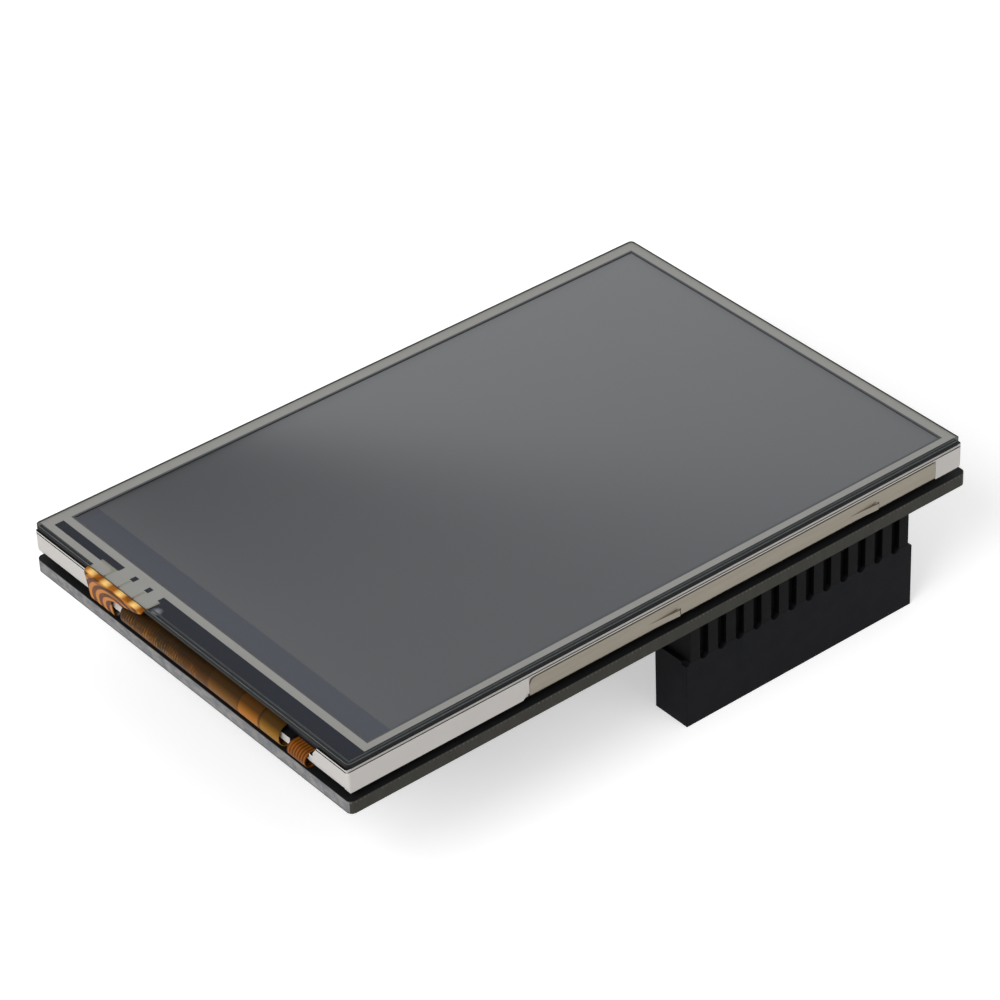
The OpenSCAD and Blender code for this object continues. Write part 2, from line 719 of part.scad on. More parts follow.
// Cutter that rounds an upper corner of the flange; side is +1 at its start
module flange_corner(x, side, r) {
    z1 = shell_z + flange_h;
    along_y(frame_at[1] - 1, 2) polygon(concat(
        [[x - side * EPS, z1 + EPS], [x - side * EPS, z1 - r]],
        [for (p = arc([0, 0], r, 180, 90)) [x + side * (r + p[0]), z1 - r + p[1]]],
        [[x + side * r, z1 + EPS]]));
}

module steel_shell() {
    base_inset = wall_t + shell_gap;
    color([0.6, 0.58, 0.54]) on_board() {
        slab(frame_at + [base_inset, base_inset],
            frame_size - 2 * [base_inset, base_inset], shell_z, shell_t);
        mirror_across_width() side_flange();
    }
}

// ---------------------------------------------------------------- board

module foam_tapes() {
    color([0.08, 0.08, 0.09]) on_board()
        for (i = [0, 1])
            slab([frame_at[0] + foam_flex_gap, frame_at[1] + foam_side_gap + i * foam_apart],
                [frame_l - foam_flex_gap - foam_far_gap, foam_w], board_t, foam_t);
}

function pin_at(i, row) = block_mid
    + [(i - (row_pins - 1) / 2) * pin_pitch, (row - 0.5) * pin_pitch];

module each_pin() {
    for (i = [0:row_pins - 1], row = [0, 1]) {
        p = pin_at(i, row);
        translate([p[0], p[1], 0]) children();
    }
}

module circuit_board() {
    color([0.1, 0.1, 0.1]) on_board() difference() {
        round_slab([0, 0], [board_l, board_w], 0, board_t, board_corner_r);
        each_pin() translate([0, 0, -EPS]) cylinder(r = pin_hole_r, h = board_t + 2 * EPS, $fn = 24);
    }
}

// ---------------------------------------------------------------- pin socket

slot_w = pin_pitch - rib_w;
comb_clear = 0.1;    // clearance round a leg where it passes through the plastic

// Slot cutter between two ribs, with a round lower end
module slot_end(x) {
    z = -comb_h + slot_w / 2 - slot_drop;
    translate([x, block_y - 1, z]) rotate([-90, 0, 0])
        cylinder(r = slot_w / 2, h = 1 + slot_depth, $fn = 24);
    slab([x - slot_w / 2, block_y - 1], [slot_w, 1 + slot_depth], z, comb_h + 1);
}

module each_slot() {
    for (i = [0:row_pins]) {
        slot_end(block_x + i * pin_pitch);
        translate([0, 2 * block_mid[1], 0]) mirror([0, 1, 0]) slot_end(block_x + i * pin_pitch);
    }
}

module header_socket() {
    seat = cavity_depth + leaf_t + 0.1;  // bottom of the hole that the leg passes
    color([0.1, 0.1, 0.12]) on_board() difference() {
        slab([block_x, block_y], [block_l, block_w], -socket_h, block_h);
        each_pin() {
            translate([-cavity_w / 2, -cavity_w / 2, -socket_h - EPS])
                cube([cavity_w, cavity_w, cavity_depth + EPS]);
            translate([-lead_in_w / 2, -lead_in_w / 2, -socket_h - EPS])
                cube([lead_in_w, lead_in_w, 0.3 + EPS]);
            leg_hole(-socket_h + cavity_depth - EPS, block_h - cavity_depth + 2 * EPS);
        }
        each_slot();
    }
}

module leg_hole(z, h) {
    w = leg_w + 2 * comb_clear;
    t = leg_t + 2 * comb_clear;
    translate([-w / 2, -t / 2, z]) cube([w, t, h]);
}

module header_spacer() {
    color([0.1, 0.1, 0.12]) on_board() difference() {
        slab([block_x + slot_w / 2, block_y], [block_l - slot_w, block_w], -comb_h, comb_h);
        each_slot();
        each_pin() leg_hole(-comb_h - EPS, comb_h + 2 * EPS);
    }
}

// Contact: two spring leaves in the cavity, a bridge and a leg up through the board
module contact() {
    bridge_z = -socket_h + cavity_depth - leaf_t;
    leaf_h = cavity_depth - 1;
    for (side = [0, 1]) mirror([0, side, 0])
        translate([-leg_w / 2, cavity_w / 2 - leaf_t, bridge_z - leaf_h + leaf_t])
            cube([leg_w, leaf_t, leaf_h]);
    translate([-leg_w / 2, -cavity_w / 2, bridge_z]) cube([leg_w, cavity_w, leaf_t]);
    translate([-leg_w / 2, -leg_t / 2, bridge_z])
        cube([leg_w, leg_t, board_t + joint_h + 0.1 - bridge_z]);
}

module header_contacts() {
    color([0.85, 0.75, 0.45]) on_board() each_pin() contact();
}

// Solder joint: fills the hole round the leg and stands up as a cone
module solder_joints() {
    color([0.75, 0.76, 0.78]) on_board() each_pin() difference() {
        union() {
            cylinder(r = pin_hole_r, h = board_t, $fn = 24);
            translate([0, 0, board_t])
                cylinder(r1 = pin_hole_r + 0.4, r2 = leg_w / 2 + 0.1, h = joint_h, $fn = 24);
        }
        translate([-leg_w / 2, -leg_t / 2, -EPS])
            cube([leg_w, leg_t, board_t + joint_h + 2 * EPS]);
    }
}

// ---------------------------------------------------------------- chips under the board

// [x, y, leads per side] of the four logic chips, from the board's corner
chip_row = [chips_from_end, chips_from_end + chips_apart_x];
chip_col = [chips_from_edge, chips_from_edge + chips_apart_y];
logic_chips = [[chip_row[0], chip_col[0], 8], [chip_row[1], chip_col[0], 8],
    [chip_row[0], chip_col[1], 8], [chip_row[1], chip_col[1], 7]];
controller_at = [chip_row[0] - 11.5, chip_col[1] + 5];
transistor_at = [chip_row[0] - 14, chip_col[0]];

// Places a part upside down under the board
module under_board(at) {
    translate([at[0], at[1], 0]) mirror([0, 0, 1]) children();
}

// Moulded chip body with drafted sides and a pin-one dimple
module chip_body(l, w, h, standoff) {
    d = 0.12;        // draft of the sides
    band = 0.25;     // height of the upright band that the leads leave from
    mid = standoff + h / 2;
    difference() {
        translate([-l / 2, 0, 0]) rotate([90, 0, 90]) linear_extrude(l) polygon([
            [-w / 2 + d, standoff], [w / 2 - d, standoff], [w / 2, mid - band / 2],
            [w / 2, mid + band / 2], [w / 2 - d, standoff + h], [-w / 2 + d, standoff + h],
            [-w / 2, mid + band / 2], [-w / 2, mid - band / 2]]);
        translate([-l / 2 + 0.8, -w / 2 + 0.8, standoff + h - 0.1])
            cylinder(r = 0.3, h = 1, $fn = 24);
    }
}

// One gull-wing lead on the +Y side
module gull_lead(w, span, h, standoff, lead_w, t) {
    z = standoff + h / 2;
    reach = (span - w) / 2;
    path = [[w / 2, z], [w / 2 + reach * 0.35, z], [w / 2 + reach * 0.5, z - t],
        [w / 2 + reach * 0.6, t * 1.2], [w / 2 + reach * 0.75, t / 2], [span / 2, t / 2]];
    translate([-lead_w / 2, 0, 0]) rotate([90, 0, 90]) linear_extrude(lead_w)
        polygon(ribbon(path, t));
}

module lead_rows(count, pitch, w, span, h, standoff, lead_w, t) {
    for (i = [0:count - 1], side = [0, 1])
        mirror([0, side, 0]) translate([(i - (count - 1) / 2) * pitch, 0, 0])
            gull_lead(w, span, h, standoff, lead_w, t);
}

module logic_chip(k) {
    c = logic_chips[k];
    color([0.13, 0.13, 0.14]) on_board() under_board(c)
        chip_body(c[2] * lead_pitch - 0.26, chip_w, chip_h, chip_standoff);
}

module logic_chip_1() { logic_chip(0); }
module logic_chip_2() { logic_chip(1); }
module logic_chip_3() { logic_chip(2); }
module logic_chip_4() { logic_chip(3); }

module logic_chip_leads() {
    color([0.78, 0.78, 0.8]) on_board()
        for (c = logic_chips) under_board(c)
            lead_rows(c[2], lead_pitch, chip_w, chip_span, chip_h, chip_standoff, 0.42, lead_t);
}

controller = [5, 4.4, 1, 6.4];       // length, width, height and span over the leads

module touch_controller() {
    color([0.13, 0.13, 0.14]) on_board() under_board(controller_at)
        chip_body(controller[0], controller[1], controller[2], chip_standoff);
}

module touch_controller_leads() {
    color([0.78, 0.78, 0.8]) on_board() under_board(controller_at)
        lead_rows(8, 0.65, controller[1], controller[3], controller[2], chip_standoff, 0.25, 0.13);
}

sot = [2.9, 1.3, 1, 2.4];            // the transistor's length, width, height and span

module transistor() {
    color([0.13, 0.13, 0.14]) on_board() under_board(transistor_at)
        chip_body(sot[0], sot[1], sot[2], chip_standoff);
}

module transistor_leads() {
    color([0.78, 0.78, 0.8]) on_board() under_board(transistor_at) {
        for (x = [-0.95, 0.95]) translate([x, 0, 0])
            gull_lead(sot[1], sot[3], sot[2], chip_standoff, 0.42, 0.13);
        mirror([0, 1, 0]) gull_lead(sot[1], sot[3], sot[2], chip_standoff, 0.42, 0.13);
    }
}

small_chip = [1.6, 0.8];             // plan size of the resistors and capacitors
end_cap = 0.3;                       // length of their metal ends
// Places of the resistors and capacitors, from the first logic chip: [x, y, turn]
resistors = [[-18, 4, 90], [-16, 4, 90], [-14, 4, 90], [-18, 9, 90], [-16, 9, 90],
    [7, 5.5, 0], [7, -5, 0], [22, -5, 90], [22, -2, 90], [-6, 24, 0], [-2, 24, 0]];
capacitors = [[-8, 5.5, 90], [7, 16.5, 0], [22, 7, 90], [22, 11, 90], [-16, 20, 0],
    [-16, 22, 0], [-6, 18, 90], [28, 16, 0]];

module chip_places(places) {
    for (p = places) under_board([chip_row[0] + p[0], chip_col[0] + p[1]])
        rotate([0, 0, p[2]]) children();
}

module small_body(h) {
    translate([-small_chip[0] / 2 + end_cap, -small_chip[1] / 2, 0])
        cube([small_chip[0] - 2 * end_cap, small_chip[1], h]);
}

module small_ends(h) {
    for (side = [0, 1]) mirror([side, 0, 0])
        translate([small_chip[0] / 2 - end_cap, -small_chip[1] / 2, 0])
            cube([end_cap, small_chip[1], h]);
}

module chip_resistors() {
    color([0.12, 0.12, 0.13]) on_board() chip_places(resistors) small_body(resistor_h);
}

module chip_capacitors() {
    color([0.55, 0.42, 0.3]) on_board() chip_places(capacitors) small_body(capacitor_h);
}

module chip_terminals() {
    color([0.78, 0.78, 0.8]) on_board() {
        chip_places(resistors) small_ends(resistor_h);
        chip_places(capacitors) small_ends(capacitor_h);
    }
}

// ---------------------------------------------------------------- nodes

touch_film();
touch_electrodes();
touch_spacer();
touch_glass();
touch_tail();
touch_gasket();
front_polarizer();
color_filter_glass();
tft_glass();
rear_polarizer();
driver_chip();
display_flex();
rim_tape();
prism_film_upper();
prism_film_lower();
diffuser_film();
light_guide();
reflector_sheet();
backlight_flex();
backlight_leds();
backlight_frame();
steel_shell();
foam_tapes();
circuit_board();
header_socket();
header_spacer();
header_contacts();
solder_joints();
logic_chip_1();
logic_chip_2();
logic_chip_3();
logic_chip_4();
logic_chip_leads();
touch_controller();
touch_controller_leads();
transistor();
transistor_leads();
chip_resistors();
chip_capacitors();
chip_terminals();
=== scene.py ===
"""Looks of a small touch display module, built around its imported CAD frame.

Every piece is in metres, in the frame of the CAD model. Board coordinates, used for
places on the module, start at the board's lower corner at the flex end.
"""
import json
import math

import bmesh
import bpy
from bpy.props import FloatProperty, FloatVectorProperty, PointerProperty
from mathutils import Matrix, Vector

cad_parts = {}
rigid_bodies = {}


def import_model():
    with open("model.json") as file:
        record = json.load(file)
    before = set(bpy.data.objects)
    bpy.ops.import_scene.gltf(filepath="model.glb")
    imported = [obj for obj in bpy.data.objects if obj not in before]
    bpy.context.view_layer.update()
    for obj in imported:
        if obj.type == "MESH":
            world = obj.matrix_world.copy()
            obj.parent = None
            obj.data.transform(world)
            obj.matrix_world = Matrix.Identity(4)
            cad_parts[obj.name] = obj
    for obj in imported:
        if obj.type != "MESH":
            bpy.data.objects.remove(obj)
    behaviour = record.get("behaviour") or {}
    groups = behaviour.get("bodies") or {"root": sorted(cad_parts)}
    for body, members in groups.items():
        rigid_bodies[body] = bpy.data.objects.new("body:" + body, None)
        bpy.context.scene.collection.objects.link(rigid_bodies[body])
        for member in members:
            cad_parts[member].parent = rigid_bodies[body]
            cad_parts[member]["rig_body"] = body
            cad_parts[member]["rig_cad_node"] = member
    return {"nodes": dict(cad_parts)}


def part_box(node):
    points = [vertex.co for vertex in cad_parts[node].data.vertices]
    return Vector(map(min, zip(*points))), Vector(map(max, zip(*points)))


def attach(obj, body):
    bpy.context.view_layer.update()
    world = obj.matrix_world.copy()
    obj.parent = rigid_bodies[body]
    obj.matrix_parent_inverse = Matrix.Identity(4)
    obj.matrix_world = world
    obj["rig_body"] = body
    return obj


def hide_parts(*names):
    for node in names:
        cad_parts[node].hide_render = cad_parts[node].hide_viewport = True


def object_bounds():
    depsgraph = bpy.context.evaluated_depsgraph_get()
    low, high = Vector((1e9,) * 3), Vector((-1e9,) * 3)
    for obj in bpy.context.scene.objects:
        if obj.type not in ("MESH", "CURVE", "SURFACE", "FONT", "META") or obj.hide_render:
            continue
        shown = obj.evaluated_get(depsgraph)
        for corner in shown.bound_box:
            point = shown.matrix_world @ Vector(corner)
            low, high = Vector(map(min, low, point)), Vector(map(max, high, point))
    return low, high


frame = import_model()
NODES = frame["nodes"]
CAD_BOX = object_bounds()

bl_info = {
    "name": "Touch Display Module",
    "version": (1, 0, 0),
    "blender": (4, 5, 0),
    "location": "3D View > Sidebar > Display Module",
    "description": "Dresses a touch display module: panel, frame, flexes, board and socket",
    "category": "Object",
}

MM = 0.001
BOARD_LOW, BOARD_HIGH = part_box("circuit_board")
FRAME_LOW, FRAME_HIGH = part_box("backlight_frame")
PANEL_LOW, PANEL_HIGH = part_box("touch_glass")

# Rows of vias on the board: first x and y, step in x and y, how many (millimetres).
VIA_ROWS = ((8, 8, 1.6, 0, 5), (24, 47, 2.0, 0, 4), (70, 44, 0, 1.8, 4), (40, 50, 1.7, 0, 6),
            (14, 30, 0, 1.6, 4), (78, 20, 0, 2.2, 5), (52, 30, 1.5, 0, 3))
VIA_ALONE = (60, 47)
VIA_RADIUS = 0.32 * MM
VIA_RING = 0.16 * MM
# Heights of what lies on the board's lower face.
PRINT_HEIGHT = 0.012 * MM
PAD_HEIGHT = 0.03 * MM
VIA_HEIGHT = 0.02 * MM
# Upright part of a face's normal from which on the face counts as level.
LEVEL_FACE = 0.95
# End of the bare glass beside the screen, in millimetres along the board.
BARE_GLASS_END = 7.37
# Places on the board: the painted highlight of a clear glue drop, and the middle of the
# tail's curved tracks.
DROP_HIGHLIGHT_AT = (0.9, 33.8, 0)
TAIL_TURN = (0, 39.6, 2.7)
CHIP_BODIES = ("logic_chip_1", "logic_chip_2", "logic_chip_3", "logic_chip_4",
               "touch_controller", "transistor")
SOLDERED_LEADS = ("logic_chip_leads", "touch_controller_leads", "transistor_leads",
                  "chip_terminals")


def on_board(x, y, z):
    """A point given in millimetres from the board's lower corner at the flex end."""
    return BOARD_LOW + Vector((x, y, z)) * MM


def board_x(value):
    return on_board(value, 0, 0).x


def board_y(value):
    return on_board(0, value, 0).y


def board_z(value):
    return on_board(0, 0, value).z


def shaded(rgb, factor):
    """A linear colour made darker or lighter, as four numbers."""
    return (*(min(1.0, c * factor) for c in rgb[:3]), 1.0)


def linear(rgb):
    """Display values of red, green and blue, 0 to 255, as a linear colour."""
    out = []
    for value in rgb:
        value /= 255
        out.append(value / 12.92 if value <= 0.04045 else ((value + 0.055) / 1.055) ** 2.4)
    return (*out, 1.0)


# ------------------------------------------------------------------ settings


def colour(name, description, rgb):
    return FloatVectorProperty(
        name=name, description=description, subtype="COLOR", size=3, min=0, max=1,
        default=linear(rgb)[:3])


def length(name, description, millimetres):
    return FloatProperty(
        name=name, description=description, default=millimetres * MM, min=0,
        unit="LENGTH", precision=5)


class PanelSettings(bpy.types.PropertyGroup):
    """Touch panel and display cell"""
    screen: colour("Screen", "Colour of the front polarizer", (62, 64, 68))
    border: colour("Glass border", "Colour of the bare cell glass", (28, 34, 54))
    ink: colour("Silver ink", "Colour of the printed lines", (146, 145, 141))
    line: colour("Edge line", "Colour of the thin line round the edge", (70, 73, 70))
    seal: colour("Seal", "Colour of the adhesive ring", (35, 38, 47))
    ledge: colour("Ledge tape", "Colour of the tape over the glass ledge", (35, 38, 47))
    film_edge: length("Film edge", "Rounding of the film's edge", 0.03)
    glass_edge: length("Glass edge", "Ground chamfer of the glass", 0.05)
    line_inset: length("Line inset", "From the panel's edge to the thin line", 0.45)
    line_width: length("Line width", "Width of the thin line", 0.2)


class FrameSettings(bpy.types.PropertyGroup):
    """Moulded frame and steel tray"""
    plastic: colour("Plastic", "Colour of the moulded frame", (207, 203, 199))
    steel: colour("Steel", "Colour of the pressed steel", (143, 136, 124))
    tape: colour("Tape", "Colour of the black tape inside the frame", (20, 20, 21))
    plastic_edge: length("Plastic edge", "Rounding of the moulding's edges", 0.06)
    steel_edge: length("Steel edge", "Rounding of the sheet's edges", 0.03)


class FlexSettings(bpy.types.PropertyGroup):
    """Flexible circuits"""
    amber: colour("Amber", "Colour of bare polyimide", (146, 84, 22))
    olive: colour("Olive", "Colour of polyimide over a dark backing", (62, 45, 22))
    # Gold is the colour of the painted glints on the display flex's tracks.
    glint_gold: colour("Gold", "Colour of polyimide over a copper area", (164, 110, 32))
    copper: colour("Copper", "Colour of the copper tracks", (190, 126, 50))
    # Shade is also the colour of the painted shade under the touch tail's crest.
    shade: colour("Shade", "Colour between the tracks", (66, 32, 8))
    edge: length("Edge", "Rounding of the flexes' edges", 0.02)


class BoardSettings(bpy.types.PropertyGroup):
    """Circuit board and the parts on it"""
    mask: colour("Solder mask", "Colour of the board's faces", (22, 22, 23))
    fibre: colour("Scored edge", "Colour of the scored short edges", (140, 140, 138))
    routed: colour("Routed edge", "Colour of the routed long edges", (56, 55, 50))
    edge: length("Edge", "Rounding of the board's edges", 0.05)
    outline_gap: length("Outline gap", "From a part to its printed outline", 0.35)
    outline_line: length("Outline line", "Width of a printed outline", 0.15)
    pad_margin: length("Pad margin", "How far a solder pad reaches past a foot", 0.12)


class SocketSettings(bpy.types.PropertyGroup):
    """Raised pin socket"""
    plastic: colour("Plastic", "Colour of the moulded socket", (12, 13, 17))
    edge: length("Edge", "Rounding of the socket's edges", 0.08)


class StageSettings(bpy.types.PropertyGroup):
    """Camera, floor and light"""
    azimuth: FloatProperty(
        name="Azimuth", description="Turn of the view about the upright axis",
        default=math.radians(-37.905), subtype="ANGLE")
    elevation: FloatProperty(
        name="Elevation", description="Height of the view over the floor",
        default=math.radians(35.519), subtype="ANGLE")
    roll: FloatProperty(
        name="Roll", description="Turn of the camera about its own axis",
        default=math.radians(-2.432), subtype="ANGLE")
    distance: length("Distance", "From the camera to the plane of the board", 454.74)
    right: FloatProperty(
        name="Right", description="Move of the camera to its right",
        default=-0.576 * MM, unit="LENGTH", precision=5)
    up: FloatProperty(
        name="Up", description="Move of the camera upwards",
        default=2.826 * MM, unit="LENGTH", precision=5)
    lens: FloatProperty(
        name="Lens", description="Focal length in millimetres on a 36 mm sensor",
        default=150.06, min=10)
    sky: FloatProperty(
        name="Sky", description="Strength of the even light from all around",
        default=0.36, min=0)
    card: FloatProperty(
        name="Card", description="Brightness of the card that the panel mirrors",
        default=1.07, min=0)


# ------------------------------------------------------------------ mesh tools


def activate(piece):
    """Selects this piece alone and makes it the active object."""
    bpy.ops.object.select_all(action="DESELECT")
    piece.select_set(True)
    bpy.context.view_layer.objects.active = piece


def place(piece, *materials, slot=None, stands_for=()):
    """Gives a finished piece its materials, its body and what it replaces; its slot is not
    used.
    """
    piece.data.materials.clear()
    for material in materials:
        piece.data.materials.append(material)
    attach(piece, "root")
    if stands_for:
        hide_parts(*stands_for)
    return piece


def merged_copy(node, name, whole_faces=True):
    """A copy of a CAD node as a new piece, with its loose triangles joined up.

    Flat areas become single faces, or stay four-sided at most where whole_faces is
    off, for a node with faces that run all the way round an opening.
    """
    source = NODES[node]
    mesh = source.data.copy()
    piece = bpy.data.objects.new(name, mesh)
    bpy.context.scene.collection.objects.link(piece)
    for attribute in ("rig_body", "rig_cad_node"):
        if attribute in piece:
            del piece[attribute]
    activate(piece)
    bpy.ops.object.mode_set(mode="EDIT")
    bpy.ops.mesh.select_all(action="SELECT")
    bpy.ops.mesh.remove_doubles(threshold=1e-7)
    if whole_faces:
        bpy.ops.mesh.dissolve_limited(angle_limit=math.radians(0.5))
    else:
        bpy.ops.mesh.tris_convert_to_quads(
            face_threshold=math.radians(0.5), shape_threshold=math.pi)
    bpy.ops.object.mode_set(mode="OBJECT")
    return piece


def round_edges(piece, width, segments=2, angle=40):
    """Rounds a piece's sharp edges with an applied bevel and smooths its shading."""
    activate(piece)
    bevel = piece.modifiers.new("Edges", "BEVEL")
    bevel.width = width
    bevel.segments = segments
    bevel.limit_method = "ANGLE"
    bevel.angle_limit = math.radians(angle)
    bevel.use_clamp_overlap = True
    bpy.ops.object.modifier_apply(modifier=bevel.name)
    bpy.ops.object.shade_smooth_by_angle(angle=math.radians(35))
    weighted = piece.modifiers.new("Flat faces", "WEIGHTED_NORMAL")
    weighted.keep_sharp = True
    bpy.ops.object.modifier_apply(modifier=weighted.name)
    return piece


def softened(node, name, width, segments=2, whole_faces=True):
    return round_edges(merged_copy(node, name, whole_faces), width, segments)


def select_faces(piece, test):
    """Goes into edit mode with only the faces selected that pass the test."""
    activate(piece)
    bpy.ops.object.mode_set(mode="EDIT")
    bpy.ops.mesh.select_mode(type="FACE")
    bpy.ops.mesh.select_all(action="DESELECT")
    bpy.ops.object.mode_set(mode="OBJECT")
    for face in piece.data.polygons:
        face.select = test(face.center, face.normal)
    bpy.ops.object.mode_set(mode="EDIT")


def paint_faces(piece, material_index, test):
    """Gives a material to the faces whose centre and normal pass the test."""
    for face in piece.data.polygons:
        if test(face.center, face.normal):
            face.material_index = material_index


def printed_rectangle(low, high, margin, width, level, thickness):
    """Thin printed rectangle whose outer sides lie a margin outside a box."""
    bpy.ops.object.select_all(action="DESELECT")
    bpy.ops.mesh.primitive_plane_add(
        size=1, location=((low.x + high.x) / 2, (low.y + high.y) / 2, level))
    piece = bpy.context.active_object
    piece.scale = (high.x - low.x + 2 * margin, high.y - low.y + 2 * margin, 1)
    bpy.ops.object.transform_apply(location=True, rotation=True, scale=True)
    bpy.ops.object.mode_set(mode="EDIT")
    bpy.ops.mesh.select_all(action="SELECT")
    bpy.ops.mesh.inset(thickness=width)
    bpy.ops.mesh.delete(type="FACE")
    bpy.ops.object.mode_set(mode="OBJECT")
    sheet = piece.modifiers.new("Ink", "SOLIDIFY")
    sheet.thickness = thickness
    sheet.offset = 1
    bpy.ops.object.modifier_apply(modifier=sheet.name)
    return piece


def dress(node, material):
    """Gives a CAD node that is shown as it is a material of this script."""
    data = NODES[node].data
    data.materials.clear()
    data.materials.append(material)


# ------------------------------------------------------------------ material tools


class Surface:
    """A material under construction: a Principled shader and the nodes that feed it."""

    def __init__(self, name, colour, **values):
        self.material = bpy.data.materials.new(name)
        self.material.use_nodes = True
        self.nodes = self.material.node_tree.nodes
        self.links = self.material.node_tree.links
        self.shader = self.nodes["Principled BSDF"]
        self.colour = tuple(colour[:3]) + (1.0,)
        self.shader.inputs["Base Color"].default_value = self.colour
        for key, value in values.items():
            self.shader.inputs[key.replace("_", " ")].default_value = value
        self.coordinates = self.nodes.new("ShaderNodeTexCoord").outputs["Object"]

    def node(self, kind, inputs=None, **attributes):
        """Adds a node; an input that is a socket is linked, any other is set."""
        node = self.nodes.new("ShaderNode" + kind)
        for key, value in attributes.items():
            setattr(node, key, value)
        inputs = inputs or {}
        self.feed([node.inputs[key] for key in inputs], inputs.values())
        return node

    def feed(self, sockets, values):
        """Links each value that is a socket and sets any other."""
        for socket, value in zip(sockets, values):
            if isinstance(value, bpy.types.NodeSocket):
                self.links.new(value, socket)
            else:
                socket.default_value = value

    def noise(self, size, detail=3, stretch=(1, 1, 1)):
        """Noise whose blotches are about size metres across."""
        mapping = self.node("Mapping", {"Vector": self.coordinates, "Scale": stretch})
        node = self.node("TexNoise", {
            "Vector": mapping.outputs[0], "Scale": 1 / size, "Detail": detail,
            "Roughness": 0.6})
        return node.outputs["Fac"]

    def scale(self, value, low, high):
        """A 0 to 1 value taken to the range from low to high."""
        node = self.node("MapRange", {"Value": value, "To Min": low, "To Max": high})
        return node.outputs[0]

    def contrast(self, value, low, high):
        """A value stretched so that low becomes 0 and high becomes 1."""
        node = self.node("MapRange", {"Value": value, "From Min": low, "From Max": high})
        return node.outputs[0]

    def smooth(self, value, low, high):
        """A value taken from 0 at low to 1 at high with soft ends."""
        node = self.node("MapRange", {"Value": value, "From Min": low, "From Max": high},
                         interpolation_type="SMOOTHSTEP")
        return node.outputs[0]

    def math(self, operation, a, b=0.0):
        node = self.node("Math", operation=operation)
        self.feed(node.inputs, (a, b))
        return node.outputs[0]

    def product(self, a, b):
        return self.math("MULTIPLY", a, b)

    def distance(self, a, b):
        """Length of a line with these two legs."""
        return self.math("SQRT", self.math("ADD", self.product(a, a), self.product(b, b)))

    def mix(self, factor, a, b):
        """Blends two colours, each a socket or a value."""
        node = self.node("MixRGB")
        self.feed(node.inputs, (factor, a, b))
        return node.outputs[0]

    def varied(self, noise, rgb, dark, light):
        """A colour that noise takes from a darker to a lighter shade of it."""
        return self.mix(noise, shaded(rgb, dark), shaded(rgb, light))

    def axis(self, name):
        """One coordinate of the point, in metres."""
        return self.node("SeparateXYZ", {"Vector": self.coordinates}).outputs[name]

    def band(self, coordinate, low, high, soft=0.00005):
        """1 where the coordinate lies between low and high, 0 elsewhere."""
        return self.product(self.contrast(coordinate, low - soft, low + soft),
                            self.contrast(coordinate, high + soft, high - soft))

    def use_colour(self, socket):
        self.links.new(socket, self.shader.inputs["Base Color"])
        return self

    def use_roughness(self, socket):
        self.links.new(socket, self.shader.inputs["Roughness"])
        return self

    def bump(self, height, depth):
        """Relief of the given depth in metres."""
        node = self.node("Bump", {"Height": height, "Distance": depth, "Strength": 1.0})
        self.links.new(node.outputs[0], self.shader.inputs["Normal"])
        return self

    def show(self, shader_node):
        """Makes another shader node the surface of the material."""
        self.links.new(shader_node.outputs[0],
                       self.nodes["Material Output"].inputs["Surface"])

    def painted(self, base, coordinate, bands, soft=0.0001):
        """Lays bands of colour, each (low, high, colour), over a base colour."""
        for low, high, colour in bands:
            base = self.mix(self.band(coordinate, low, high, soft), base, colour)
        return base

    def stripes(self, coordinate, pitch, offset=0.0, low=0.0, high=0.5):
        """1 on the stripes that repeat every pitch metres, 0 between them."""
        turn = self.product(self.math("SUBTRACT", coordinate, offset), 2 * math.pi / pitch)
        return self.contrast(self.math("COSINE", turn), low, high)

    def see_through(self, haze):
        """Clear to look through, with this shader showing only as a haze."""
        clear = self.node("BsdfTransparent")
        self.show(self.node("MixShader", {0: haze, 1: clear.outputs[0],
                                          2: self.shader.outputs[0]}))
        return self

    def mottled(self, size, amount, detail=3, stretch=(1, 1, 1)):
        """Colour varied around its mean by noise."""
        return self.use_colour(self.varied(
            self.noise(size, detail, stretch), self.colour, 1 - amount, 1 + amount))


# ------------------------------------------------------------------ materials


def film_material():
    """Top film, clear but for a faint haze."""
    s = Surface("clear_film", linear((216, 218, 220)), Roughness=0.6)
    s.mottled(0.01, 0.1)
    return s.see_through(s.scale(s.noise(0.02), 0.0, 0.006)).material


def edge_material(name, rgb, roughness=0.4):
    """Cut edge of a clear sheet or a printed line, with paler stretches."""
    s = Surface(name, rgb, Roughness=roughness, Specular_IOR_Level=0.1)
    return s.mottled(0.0016, 0.5, 4, (1, 1, 0.3)).material


def ink_material(rgb):
    """Printed silver with a fine grain."""
    s = Surface("silver_ink", rgb, Roughness=0.5, Metallic=0.2)
    s.mottled(0.003, 0.07, 4)
    return s.bump(s.noise(0.00025, 2), 0.000002).material


def still_material(name, rgb, roughness=0.5, specular=0.1):
    """Smooth dark sheet behind the clear layers."""
    s = Surface(name, rgb, Roughness=roughness, Specular_IOR_Level=specular)
    return s.mottled(0.008, 0.06, 2).material


